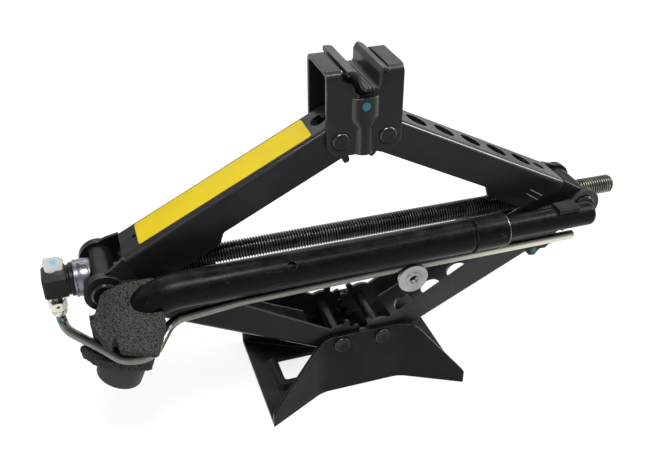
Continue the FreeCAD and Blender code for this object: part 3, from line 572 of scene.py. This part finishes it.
dress(black_coat("arm_coat", base=0.007, gloss=0.32, dust=0.12), "upper_left_arm", "lower_left_arm")
dress(black_coat("scuffed_coat", base=0.007, gloss=0.32, dust=0.12, scratches=arm_scratches),
      "upper_right_arm")
# The right lower arm's lighter copy of the coat is painted light for the light it catches.
dress(black_coat("lit_satin_coat", base=0.010, gloss=0.36, dust=0.12, shine=0.36), "lower_right_arm")
dress(black_coat("foot_coat", base=0.006, gloss=0.36, dust=0.06, shine=0.11, edge=0.0010,
                 rubbed=False), "base_plate")
dress(black_coat("head_coat", base=0.009, gloss=0.34, dust=0.14, edge=0.0012, dabs=[head_dab]),
      "head_bracket")
# The cross bars' darker copy of the coat is painted shade.
dress(black_coat("shaded_cross_bar_coat", base=0.004, gloss=0.30, dust=0.05, shine=0.10, edge=0.0004),
      "left_trunnion", "right_trunnion_nut")
dress(black_coat("block_oxide", base=0.008, gloss=0.36, dust=0.05, wear=0.12, rubbed=False),
      "drive_block", "flange_collar", "retaining_ring")
print("black finishes made")

# %% [markdown]
# ## Glossy tube paint
#
# The wheel wrench has a thicker, glossier paint than the sheet metal. It has more ripple, fine
# scratches along the tube, and bare metal where its cut ends are worn. Its socket is duller.

# %% Tube paint
tube_shine = 0.105
tube_edge_shine = 0.7
tube_ripple_height = 0.00010
tube_wear = grey(0.25)
tube_scratch = grey(0.06)
tube_dust = grey(0.16, 0.04)
scratch_roughness = 0.3


def tube_paint(name, base, gloss):
    """A glossy black paint with its own darkness and gloss."""
    paint, tree, shader = new_finish(name)
    edges = use(tree, worn_edges, Radius=0.0006)
    ripple = use(tree, coat_ripple, Scale=620.0, Cloud=40.0)
    dusty = use(tree, settled_dust, Amount=0.08, Patches=90.0)["Mask"]
    scratched = use(tree, fine_scratches, Share=0.5, Length=(18.0, 120.0, 120.0))["Mask"]
    colour = lay_over(tree, edges["Wear"], grey(base), tube_wear)
    colour = lay_over(tree, scratched, colour, tube_scratch)
    colour = lay_over(tree, dusty, colour, tube_dust)
    rough = ramp(tree, ripple["Cloud"], to=(gloss + 0.04, gloss - 0.03))
    rough = sums(tree, "ADD", rough, sums(tree, "MULTIPLY", scratched, scratch_roughness))
    feed(tree, shader["Base Color"], colour)
    feed(tree, shader["Specular IOR Level"],
         ramp(tree, edges["Edge"], to=(tube_shine, tube_edge_shine)))
    feed(tree, shader["Roughness"], rough)
    feed(tree, shader["Normal"],
         raised(tree, ripple["Height"], tube_ripple_height, edges["Normal"]))
    return paint


dress(tube_paint("tube_gloss", base=0.0015, gloss=0.27), "wrench_tube", "wrench_sleeve",
      "wrench_inner_tube")
dress(tube_paint("socket_paint", base=0.045, gloss=0.48), "wrench_socket")
dress(tube_paint("tab_paint", base=0.012, gloss=0.40), "stow_clip")
print("tube finishes made")

# %% [markdown]
# ## Plated steel
#
# The crank and the bearing are plated: bare metal with a soft, mottled shine and the marks of their
# making. A cloud varies tint and gloss, and the marks are a bump. Paint dabs on them are not metal,
# so their mask takes the metal away.

# %% Plated steel
far_sheen_span = (0.02, 0.13)
plate_ripple = 0.6


def plated(name, tint, gloss, marks=(1.0, 0.04, 0.04), mark_depth=0.00002, dull=0.8,
           far_sheen_tint=None, dabs=()):
    """A plated metal; a far sheen tint paints a sheen on the end of a piece further along the jack.
    """
    paint, tree, shader = new_finish(name, metal=1.0)
    edges = use(tree, worn_edges, Radius=0.0005)
    ripple = use(tree, coat_ripple, Scale=900.0, Cloud=160.0)
    lines = use(tree, turned_marks, Stretch=marks)["Height"]
    clouded = tuple(dull * value for value in tint)
    colour = lay_over(tree, ripple["Cloud"], (*tint, 1.0), (*clouded, 1.0))
    # Painted sheen: the colour lightens towards the far end of the piece.
    if far_sheen_tint:
        place = add(tree, "SeparateXYZ")
        feed(tree, place.inputs[0], object_place(tree))
        far = ramp(tree, place.outputs["X"], between=far_sheen_span)
        colour = lay_over(tree, far, colour, (*far_sheen_tint, 1.0))
    metal = 1.0
    for centre, radius, dab_tint in dabs:
        dab = use(tree, paint_dab, Centre=centre, Radius=radius)["Mask"]
        colour = lay_over(tree, dab, colour, dab_tint)
        metal = sums(tree, "SUBTRACT", metal, dab, clamp=True)
        feed(tree, shader["Metallic"], metal)
    height = sums(tree, "ADD", lines, sums(tree, "MULTIPLY", ripple["Height"], plate_ripple))
    feed(tree, shader["Base Color"], colour)
    feed(tree, shader["Roughness"], ramp(tree, ripple["Cloud"], to=(gloss - 0.03, gloss + 0.06)))
    feed(tree, shader["Normal"], raised(tree, height, mark_depth, edges["Normal"]))
    return paint


print("plated steel ready")

# %% [markdown]
# ## Plated pieces
#
# The rod is drawn wire, so its marks run along it, and a painted sheen makes it brighter towards
# its far end. The collar and the crank's upper end are paler. Each has its dab: teal on the rod's
# bend, painted shade of a punch mark as a dark dot on the collar, and light blue on the upper end.

# %% Coats of the plated pieces
cap_low, cap_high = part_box("crank_cap")
neck = (cap_low + cap_high) / 2
collar_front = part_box("crank_collar")[0].y
blue = (0.22, 0.52, 0.66, 1.0)
punch_shade = (0.05, 0.04, 0.03, 1.0)
rod_dab = ((neck.x + 0.0004, -0.0062, 0.0985), 0.0030, teal)
# The collar's dark dot is painted shade: it stands for the shade inside a punch mark.
collar_punch_shade = ((neck.x, collar_front, 0.1080), 0.0012, punch_shade)
cap_dab = ((neck.x + 0.0024, 0.0004, cap_low.z + 0.0054), 0.0022, blue)

dress(plated("rod_zinc", (0.19, 0.187, 0.165), gloss=0.22, marks=(0.05, 1.0, 1.0), dull=0.9,
             far_sheen_tint=(0.60, 0.585, 0.49), dabs=[rod_dab]), "crank_rod")
dress(plated("collar_zinc", (0.78, 0.75, 0.65), gloss=0.38, marks=(1.0, 1.0, 0.1), dull=0.9,
             dabs=[collar_punch_shade]), "crank_collar")
eye_zinc = plated("eye_zinc", (0.33, 0.35, 0.33), gloss=0.30, marks=(1.0, 0.1, 1.0),
                  mark_depth=0.00006)
dress(eye_zinc, "crank_eye")
dress(plated("bearing_bright", (0.55, 0.55, 0.56), gloss=0.22), "thrust_race_fixed",
      "thrust_race_turning", "thrust_cage", "thrust_balls")
print("metal finishes made")

# %% [markdown]
# ## Yellow vinyl
#
# The label on the upper left arm is plain yellow vinyl. Vinyl is hardly shiny, but not one flat
# colour: its tint is slightly cloudy, it has light scuffs, and its surface is a little uneven.

# %% Label
yellow = (0.66, 0.490, 0.003, 1.0)
pale_yellow = (0.70, 0.525, 0.004, 1.0)
scuffed_yellow = (0.55, 0.40, 0.04, 1.0)
vinyl_ripple_height = 0.00004

vinyl, tree, shader = new_finish("label_vinyl", specular=0.12)
ripple = use(tree, coat_ripple, Scale=500.0, Cloud=55.0)
scuffed = use(tree, fine_scratches, Share=0.25, Length=(20.0, 90.0, 160.0))["Mask"]
colour = lay_over(tree, ripple["Cloud"], yellow, pale_yellow)
colour = lay_over(tree, scuffed, colour, scuffed_yellow)
feed(tree, shader["Base Color"], colour)
feed(tree, shader["Roughness"], ramp(tree, ripple["Cloud"], to=(0.34, 0.46)))
feed(tree, shader["Normal"], raised(tree, ripple["Height"], vinyl_ripple_height))
dress(vinyl, "label_sticker")
print("label finish made")

# %% [markdown]
# ## Helpers for new pieces
#
# Most new pieces start from a few points and one operator: a half section is spun about an axis, or
# an outline is extruded. These helpers do that, round off edges, cut a shape flat and close the cut,
# and make the finished object, with its place in its mesh and its normals turned outwards.

# %% Shape helpers
def only(kind, items):
    """The items of one kind, such as vertices, from an operator's answer."""
    return [item for item in items if isinstance(item, kind)]


def everything(shape):
    return shape.verts[:] + shape.edges[:] + shape.faces[:]


def chain(shape, points):
    """New vertices joined by edges: both lists."""
    verts = [shape.verts.new(point) for point in points]
    return verts, [shape.edges.new(pair) for pair in zip(verts, verts[1:])]


def spun(points, centre, axis, steps):
    """A half section turned all the way round an axis."""
    shape = bmesh.new()
    verts, edges = chain(shape, points)
    bmesh.ops.spin(shape, geom=verts + edges, cent=centre, axis=axis, angle=2 * math.pi,
                   steps=steps, use_merge=True)
    bmesh.ops.remove_doubles(shape, verts=shape.verts, dist=1e-7)
    return shape


def slab(outline, front, depth):
    """An outline of (x, z) points at a front, extruded to the rear."""
    shape = bmesh.new()
    shape.faces.new([shape.verts.new((x, front, z)) for x, z in outline])
    grown = bmesh.ops.extrude_face_region(shape, geom=shape.faces[:])["geom"]
    bmesh.ops.translate(shape, vec=(0, depth, 0), verts=only(bmesh.types.BMVert, grown))
    return shape


def round_off(shape, edges, offset, segments):
    bmesh.ops.bevel(shape, geom=edges, offset=offset, segments=segments, profile=0.5,
                    affect="EDGES", material=-1)


def cut_flat(shape, place, outwards):
    """Take away what lies outside a plane and close the cut."""
    cut = bmesh.ops.bisect_plane(shape, geom=everything(shape), plane_co=place,
                                 plane_no=outwards, clear_outer=True)
    bmesh.ops.contextual_create(shape, geom=only(bmesh.types.BMEdge, cut["geom_cut"]))


def finished_piece(name, shape, paint, sharp_from=40.0):
    """An object from a shape, smooth but for edges that turn by more than an angle in degrees."""
    bmesh.ops.recalc_face_normals(shape, faces=shape.faces)
    mesh = bpy.data.meshes.new(name)
    shape.to_mesh(mesh)
    shape.free()
    mesh.materials.append(paint)
    piece = bpy.data.objects.new(name, mesh)
    scene.collection.objects.link(piece)
    for face in mesh.polygons:
        face.use_smooth = True
    mesh.set_sharp_from_angle(angle=math.radians(sharp_from))
    return piece


def tell_size(piece):
    lines = [[vert.co[axis] for vert in piece.data.vertices] for axis in range(3)]
    size = [round((max(line) - min(line)) * 1000, 1) for line in lines]
    print(piece.name, "size in mm", size, "faces", len(piece.data.polygons))


print("shape helpers ready")

# %% [markdown]
# ## The lead screw
#
# The screw has a fine thread along nearly its whole length, which catches the light as rows of small
# bright crests. The CAD bar is a plain cylinder, so we replace it. A spin turns one thread profile
# about the screw's axis while each step also moves it a little along that axis, and after a full
# turn the profile meets its own start. Copies make up the length, two cuts square off the ends, the
# tip is chamfered, and the plain shank at the bearing is a spun section.

# %% Screw shape
screw_low, screw_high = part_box("lead_screw")
screw_axis = Vector((0, 0, (screw_low.z + screw_high.z) / 2))
screw_radius = (screw_high.z - screw_low.z) / 2
thread_pitch = 0.0020
thread_depth = 0.00115
thread_from = -0.160
tip_chamfer = 0.0015
steps_per_turn = 28
along = Vector((1, 0, 0))
# Shares of the pitch, and depths below the crest
thread_profile = ((0, thread_depth), (0.18, thread_depth), (0.42, 0), (0.60, 0),
                  (0.84, thread_depth), (1, thread_depth))


def threaded_bar(left, right):
    """A bar with a real thread between two places along the screw's axis."""
    shape = bmesh.new()
    turns = math.ceil((right - left) / thread_pitch) + 2
    start = left - thread_pitch
    verts, edges = chain(shape, [
        (start + share * thread_pitch, 0, screw_axis.z + screw_radius - depth)
        for share, depth in thread_profile])
    bmesh.ops.spin(shape, geom=verts + edges, cent=screw_axis, axis=along, angle=2 * math.pi,
                   dvec=along * thread_pitch / steps_per_turn, steps=steps_per_turn)
    made = 1
    while made < turns:
        more = bmesh.ops.duplicate(shape, geom=everything(shape))["geom"]
        bmesh.ops.translate(shape, vec=along * thread_pitch * made,
                            verts=only(bmesh.types.BMVert, more))
        made *= 2
    bmesh.ops.remove_doubles(shape, verts=shape.verts, dist=1e-6)
    cut_flat(shape, (left, 0, 0), -along)
    cut_flat(shape, (right, 0, 0), along)
    bmesh.ops.dissolve_degenerate(shape, edges=shape.edges, dist=2e-6)
    return shape


bar = threaded_bar(thread_from, screw_high.x)
for vert in bar.verts:
    limit = screw_radius - max(0.0, vert.co.x - screw_high.x + tip_chamfer)
    spoke = Vector((0, vert.co.y, vert.co.z - screw_axis.z))
    if spoke.length > limit:
        vert.co -= spoke * (1 - limit / spoke.length)
print("screw turns", round((screw_high.x - thread_from) / thread_pitch), "faces", len(bar.faces))

# %% Screw shank
shank_radius = screw_radius - thread_depth * 0.4
tail_radius = shank_radius * 0.7
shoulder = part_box("drive_block")[1].x
shank_section = ((screw_low.x, 0), (screw_low.x, tail_radius), (shoulder, tail_radius),
                 (shoulder, shank_radius), (thread_from, shank_radius), (thread_from, 0))
shank = spun([(x, 0, screw_axis.z + radius) for x, radius in shank_section], screw_axis, along,
             steps_per_turn)
shank_mesh = bpy.data.meshes.new("shank")
shank.to_mesh(shank_mesh)
shank.free()
bar.from_mesh(shank_mesh)
bpy.data.meshes.remove(shank_mesh)
print("shank radius in mm", round(shank_radius * 1000, 2))

# %% [markdown]
# ## Oil on the screw
#
# Old oil lies dark in the thread's roots, while the crests are rubbed bare, and the free tip has
# turned brownish. The crests are found by their distance from the axis, so the finish fits the
# thread exactly.

# %% Screw finish
oil_dark = grey(0.010, 0.1)
crest_dark = grey(0.08)
crest_light = grey(0.17)
tip_brown = (0.40, 0.37, 0.33, 1.0)
tip_span = (0.15, 0.20)
crest_span = (screw_radius - thread_depth * 0.8, screw_radius - thread_depth * 0.1)

screw_paint, tree, shader = new_finish("screw_oil", metal=0.75)
place = add(tree, "SeparateXYZ")
feed(tree, place.inputs[0], object_place(tree))
smears = object_noise(tree, scale=90.0, detail=3.0)
browned = ramp(tree, place.outputs["X"], between=tip_span)
browned = sums(tree, "MULTIPLY", browned, ramp(tree, smears, between=(0.3, 0.6), to=(0.5, 1)))
spoke = vectors(tree, "SUBTRACT", object_place(tree), screw_axis)
spoke = vectors(tree, "MULTIPLY", spoke, (0, 1, 1))
radius = vectors(tree, "LENGTH", spoke, (0, 0, 0), "Value")
crest = ramp(tree, radius, between=crest_span)
colour = lay_over(tree, ramp(tree, smears, between=(0.35, 0.65)), crest_dark, crest_light)
colour = lay_over(tree, browned, colour, tip_brown)
feed(tree, shader["Base Color"], lay_over(tree, crest, oil_dark, colour))
feed(tree, shader["Roughness"], ramp(tree, smears, between=(0.3, 0.7), to=(0.24, 0.38)))
screw = finished_piece("threaded_screw", bar, screw_paint)
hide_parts("lead_screw")
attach(screw, "screw")
tell_size(screw)

# %% [markdown]
# ## The folded saddle
#
# The saddle insert is one strip of thin sheet, folded into two lips with a ridged groove between
# them, and it stands out a little in front of the head. A folded line of edges is extruded across
# the head, its long folds are beveled round, and the surface is solidified to the sheet's thickness.
# The folds are rounded by less than half of the shortest flat, so that they don't meet.

# %% Folded saddle
saddle_low, saddle_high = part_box("saddle_insert")
saddle_sheet = 0.0017
saddle_overhang = 0.0030
saddle_fold = 0.0005
lip_inset = 0.0008
lip = saddle_high.x - lip_inset
groove_foot = -0.0137
groove_ridge = -0.0128
# Places across the head, and heights counted from the saddle's top
fold_line = (
    (-lip, -0.0043), (-lip, -0.0010), (-0.0108, -0.0009), (-0.0078, -0.0018),
    (-0.0058, -0.0042), (-0.0054, -0.0076), (-0.0036, -0.0120), (-0.0014, groove_foot),
    (-0.0002, groove_ridge), (0.0010, groove_foot), (0.0022, groove_ridge), (0.0034, groove_foot),
    (0.0046, groove_ridge), (0.0056, -0.0135), (0.0066, -0.0118), (0.0067, -0.0046),
    (0.0088, -0.0010), (0.0108, -0.0010), (lip, -0.0030), (lip - 0.0003, -0.0046))
saddle_front = saddle_low.y - saddle_overhang

folded = bmesh.new()
edges = chain(folded, [(x, saddle_front, saddle_high.z + drop) for x, drop in fold_line])[1]
grown = bmesh.ops.extrude_edge_only(folded, edges=edges)["geom"]
bmesh.ops.translate(folded, vec=(0, saddle_high.y - saddle_front, 0),
                    verts=only(bmesh.types.BMVert, grown))
folds = [edge for edge in folded.edges if len(edge.link_faces) == 2]
round_off(folded, folds, saddle_fold, segments=4)
bmesh.ops.recalc_face_normals(folded, faces=folded.faces)
bmesh.ops.solidify(folded, geom=folded.faces[:], thickness=saddle_sheet)
saddle_coat = black_coat("saddle_coat", base=0.012, gloss=0.34, dust=0.18, shine=0.30)
saddle = finished_piece("folded_saddle", folded, saddle_coat)
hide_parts("saddle_insert")
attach(saddle, "head")
tell_size(saddle)

# %% [markdown]
# ## The rivets
#
# A rivet is closed by a press, which leaves a slightly domed head with a dimple in its middle. The
# foot's rivets are pressed harder, so that their heads are dished. One half section spun about the
# pin's axis makes a rivet, with the same head on both ends.

# %% Rivets
rivet_head = 0.0022
rivet_shaft = 0.0045
rivet_steps = 48
# Shares of the head's radius, and depths below its highest point
domed = ((0, 0.0007), (0.13, 0.0006), (0.24, 0.0002), (0.32, 0.0001), (0.60, 0), (0.80, 0.0003),
         (0.94, 0.0009), (1, 0.0016))
dished = ((0, 0.0013), (0.25, 0.0012), (0.50, 0.0008), (0.70, 0.0002), (0.80, 0), (0.92, 0.0003),
          (1, 0.0010))
rivet_coat = black_coat("rivet_coat", base=0.006, gloss=0.30, dust=0.06, edge=0.0004)


def pressed_rivet(name, node, body, section):
    """A rivet in the place of a CAD pin, with one pressed head on each end."""
    low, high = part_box(node)
    centre = (low + high) / 2
    rim = (high.x - low.x) / 2
    half = (high.y - low.y) / 2
    outline = [(rim * share, half - sunk) for share, sunk in section]
    outline += [(rim, half - rivet_head), (rivet_shaft, half - rivet_head)]
    outline += [(radius, -along_pin) for radius, along_pin in outline[::-1]]
    points = [centre + Vector((0, along_pin, radius)) for radius, along_pin in outline]
    rivet = finished_piece(name, spun(points, centre, (0, 1, 0), rivet_steps), rivet_coat)
    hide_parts(node)
    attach(rivet, body)
    tell_size(rivet)


for side in ("left", "right"):
    pressed_rivet("foot_rivet_" + side, "base_pin_" + side, "foot", dished)
    pressed_rivet("head_rivet_" + side, "head_pin_" + side, "head", domed)

# %% [markdown]
# ## The bearing's shell
#
# The thrust bearing sits in a cup of bright drawn sheet with a slight crown and a rolled lip. Its
# section is spun about the screw's axis, which gives the lip its round highlight.

# %% Bearing shell
shell_low, shell_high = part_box("thrust_shell")
shell_middle = (shell_low + shell_high) / 2
shell_rim = (shell_high.z - shell_low.z) / 2
shell_bore = 0.0075
shell_wall = 0.0012
shell_steps = 72
# Shares of the shell's length, and depths below its rim
crown = ((0, 0.0020), (0.05, 0.0009), (0.14, 0.0003), (0.30, 0.0001), (0.50, 0), (0.68, 0.0001),
         (0.77, 0.0004), (0.84, 0.0003), (0.92, 0), (0.98, 0.0002), (1, 0.0007))
section = [(shell_high.x, shell_bore)]
section += [(shell_high.x + (shell_low.x - shell_high.x) * share, shell_rim - sunk)
            for share, sunk in crown]
section += [(shell_low.x, shell_rim - shell_wall),
            (shell_high.x - shell_wall, shell_rim - shell_wall),
            (shell_high.x - shell_wall, shell_bore), section[0]]
shell_shape = spun([(x, 0, shell_middle.z + radius) for x, radius in section], shell_middle, along,
                   shell_steps)
shell_zinc = plated("shell_zinc", (0.21, 0.22, 0.235), gloss=0.30, mark_depth=0.00001)
shell = finished_piece("bearing_shell", shell_shape, shell_zinc)
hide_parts("thrust_shell")
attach(shell, "left_carriage")
tell_size(shell)

# %% [markdown]
# ## Hammered end of the crank
#
# Above the drive block the crank's end is hammered out into a fan, so that it can't slip back. An
# outline is extruded to the fan's thickness, its two upper corners are beveled round and its rims
# are eased. It leans back, and its foot is cut flat where it stands on the block.

# %% Hammered end
fan_foot = 0.0050
fan_top = 0.0072
fan_root = -0.0020
fan_height = 0.0098
fan_offset = 0.0020
fan_sheet = 0.0030
fan_corner = 0.0048
fan_rim = 0.0004
fan_gap = 0.0001
fan_lean = math.radians(-25)
fan_outline = ((-fan_foot, fan_root), (fan_foot, fan_root), (fan_top, fan_height),
               (-fan_top, fan_height))


def runs_back(edge):
    """Whether an edge goes from the front face to the rear one."""
    return abs(edge.verts[0].co.y - edge.verts[1].co.y) > 1e-6


fan = slab(fan_outline, 0, fan_sheet)
corners = [edge for edge in fan.edges if runs_back(edge) and edge.verts[0].co.z > fan_height / 2]
round_off(fan, corners, fan_corner, segments=8)
round_off(fan, [edge for edge in fan.edges if not runs_back(edge)], fan_rim, segments=3)
bmesh.ops.rotate(fan, verts=fan.verts, cent=(0, 0, 0), matrix=Euler((fan_lean, 0, 0)).to_matrix())
bmesh.ops.translate(fan, verts=fan.verts, vec=(neck.x + fan_offset, -fan_sheet / 2, cap_low.z))
cut_flat(fan, (0, 0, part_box("drive_block")[1].z + fan_gap), (0, 0, -1))
cap_zinc = plated("cap_zinc", (0.82, 0.83, 0.80), gloss=0.42, marks=(1.0, 1.0, 0.1), dull=0.93,
                  dabs=[cap_dab])
cap = finished_piece("hammered_end", fan, cap_zinc)
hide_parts("crank_cap")
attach(cap, "crank")
tell_size(cap)

# %% [markdown]
# ## Pressed ear under the right arm
#
# Below the far end of the crank a small pressed ear of the right lower arm shows, with a teal dab.
# It has no CAD piece, so it is an extra one that rides on that arm. One outline is extruded, and all
# its edges are eased.

# %% Pressed ear
ear_front = -0.0240
ear_depth = 0.0040
ear_rim = 0.0007
ear_outline = ((0.1255, 0.1000), (0.1278, 0.0965), (0.1343, 0.0885), (0.1391, 0.0880),
               (0.1427, 0.0927), (0.1478, 0.0925), (0.1500, 0.0950), (0.1575, 0.0970),
               (0.1560, 0.1040))
ear_dab = ((0.1378, ear_front, 0.0928), 0.0025, teal)

ear_shape = slab(ear_outline, ear_front, ear_depth)
round_off(ear_shape, ear_shape.edges[:], ear_rim, segments=3)
ear_coat = black_coat("ear_coat", base=0.008, gloss=0.34, dust=0.06, rubbed=False, dabs=[ear_dab])
ear = finished_piece("pressed_ear", ear_shape, ear_coat)
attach(ear, "lower_right")
tell_size(ear)

# %% [markdown]
# ## Weld bead on the eye
#
# The round eye is held to the rod by a short weld bead. A ball is flattened and drawn out, and a
# noise makes its skin lumpy, as weld metal is.

# %% Weld bead
bead_radius = 0.001
bead_stretch = (2.6, 0.9, 1.0)
bead_lumps = 0.25
bead_lump_scale = 900
bead_inset = 0.0009
bead_drop = 0.0020
eye_low, eye_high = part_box("crank_eye")
bead_place = ((eye_low.x + eye_high.x) / 2, eye_high.y - bead_inset, eye_high.z - bead_drop)

bead_shape = bmesh.new()
bmesh.ops.create_icosphere(bead_shape, subdivisions=4, radius=bead_radius)
bmesh.ops.scale(bead_shape, vec=bead_stretch, verts=bead_shape.verts)
for vert in bead_shape.verts:
    vert.co *= 1 + bead_lumps * noise.noise(vert.co * bead_lump_scale)
bmesh.ops.translate(bead_shape, verts=bead_shape.verts, vec=bead_place)
bead = finished_piece("weld_bead", bead_shape, eye_zinc, sharp_from=180.0)
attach(bead, "crank")
tell_size(bead)

# %% [markdown]
# ## Bare rim of the sleeve
#
# Where the sleeve was cut off, its edge shows a thin line of bare metal. A small circle spun round
# the tube makes a fine ring that catches the light all the way round.

# %% Sleeve rim
rim_radius = 0.0004
rim_sunk = 0.0006
rim_sides = 12
rim_steps = 64
sleeve_low, sleeve_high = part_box("wrench_sleeve")
sleeve_middle = (sleeve_low + sleeve_high) / 2
upright = Euler((math.radians(90), 0, 0)).to_matrix()

rim_shape = bmesh.new()
bmesh.ops.create_circle(rim_shape, radius=rim_radius, segments=rim_sides)
bmesh.ops.rotate(rim_shape, verts=rim_shape.verts, cent=(0, 0, 0), matrix=upright)
bmesh.ops.translate(rim_shape, verts=rim_shape.verts,
                    vec=(sleeve_high.x - rim_radius, sleeve_middle.y, sleeve_high.z - rim_sunk))
bmesh.ops.spin(rim_shape, geom=rim_shape.verts[:] + rim_shape.edges[:], cent=sleeve_middle,
               axis=along, angle=2 * math.pi, steps=rim_steps, use_merge=True)
bare_rim = finished_piece("sleeve_rim", rim_shape, eye_zinc)
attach(bare_rim, "left_carriage")
tell_size(bare_rim)

# %% [markdown]
# ## The foam wrap
#
# A block of open-cell foam keeps the wrench and the crank from rattling. The CAD solid gives its
# size, its slit and its two layers. Its look is soft edges and thousands of torn cells, so we
# remesh a copy into small even faces, soften it, let its left end sag a little, and push the faces
# in and out by a noise whose lumps are as large as the cells. The material paints the pits darker
# as painted shade.

# %% Foam shape
foam_voxel = 0.0005
soften_rounds = 3
foam_roof = 0.1135
sag_from = -0.158
sag_run = 0.022
sag_share = 0.38
lump_scale = 130
lump_height = 0.0004
cell_scale = 1100
cell_depth = 0.0005
skin_loss = 0.0003


def fine_copy(node_name, voxel):
    """A remeshed copy of a CAD piece with small even faces."""
    shape = bmesh.new()
    shape.from_mesh(nodes[node_name].data)
    bmesh.ops.remove_doubles(shape, verts=shape.verts, dist=1e-6)
    mesh = bpy.data.meshes.new("foam_coarse")
    shape.to_mesh(mesh)
    shape.free()
    coarse = bpy.data.objects.new("foam_coarse", mesh)
    scene.collection.objects.link(coarse)
    remesh = coarse.modifiers.new("cells", "REMESH")
    remesh.mode = "VOXEL"
    remesh.voxel_size = voxel
    graph = bpy.context.evaluated_depsgraph_get()
    fine = bpy.data.meshes.new_from_object(coarse.evaluated_get(graph))
    bpy.data.objects.remove(coarse)
    return fine


foam_shape = bmesh.new()
foam_shape.from_mesh(fine_copy("foam_pad", foam_voxel))
for _ in range(soften_rounds):
    bmesh.ops.smooth_vert(foam_shape, verts=foam_shape.verts, factor=0.5, use_axis_x=True,
                          use_axis_y=True, use_axis_z=True)
for vert in foam_shape.verts:
    if vert.co.z > foam_roof:
        share = min(1.0, max(0.0, (sag_from - vert.co.x) / sag_run))
        vert.co.z -= (vert.co.z - foam_roof) * sag_share * share * share
foam_shape.normal_update()
for vert in foam_shape.verts:
    lumps = noise.noise(vert.co * lump_scale) * lump_height
    torn = noise.noise(vert.co * cell_scale) * cell_depth
    vert.co += vert.normal * (lumps + torn - skin_loss)
print("foam faces", len(foam_shape.faces))

# %% [markdown]
# ## Open cells of the foam
#
# Seen close up, the foam is a net of charcoal fibres over pits. Voronoi cells are the pits, painted
# dark as painted shade, and a fine noise is the fibres, painted lighter as painted highlights;
# both are bumped. Foam hardly shines, so it mirrors little and its surface is rough.

# %% Foam finish
foam_grey = (0.045, 0.0415, 0.038, 1.0)
pit_shade_grey = (0.003, 0.0028, 0.0026, 1.0)
fibre_highlight_grey = (0.115, 0.105, 0.097, 1.0)
pit_depth = 0.0005
fibre_share = 0.4

foam_paint, tree, shader = new_finish("open_cell_foam", specular=0.1)
cells = add(tree, "TexVoronoi", feature="F1")
feed(tree, cells.inputs["Vector"], object_place(tree))
cells.inputs["Scale"].default_value = 700.0
shaded_pits = ramp(tree, cells.outputs["Distance"], between=(0.18, 0.44), to=(1, 0))
fibre = object_noise(tree, scale=1700.0)
# Painted shade in the pits and painted highlights on the fibres.
colour = lay_over(tree, shaded_pits, foam_grey, pit_shade_grey)
lit_fibres = ramp(tree, fibre, between=(0.54, 0.68), to=(0, 0.9))
feed(tree, shader["Base Color"], lay_over(tree, lit_fibres, colour, fibre_highlight_grey))
shader["Roughness"].default_value = 0.95
depth = sums(tree, "SUBTRACT", sums(tree, "MULTIPLY", fibre, fibre_share), shaded_pits)
feed(tree, shader["Normal"], raised(tree, depth, pit_depth))
foam = finished_piece("foam_wrap", foam_shape, foam_paint, sharp_from=180.0)
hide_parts("foam_pad")
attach(foam, "left_carriage")
tell_size(foam)
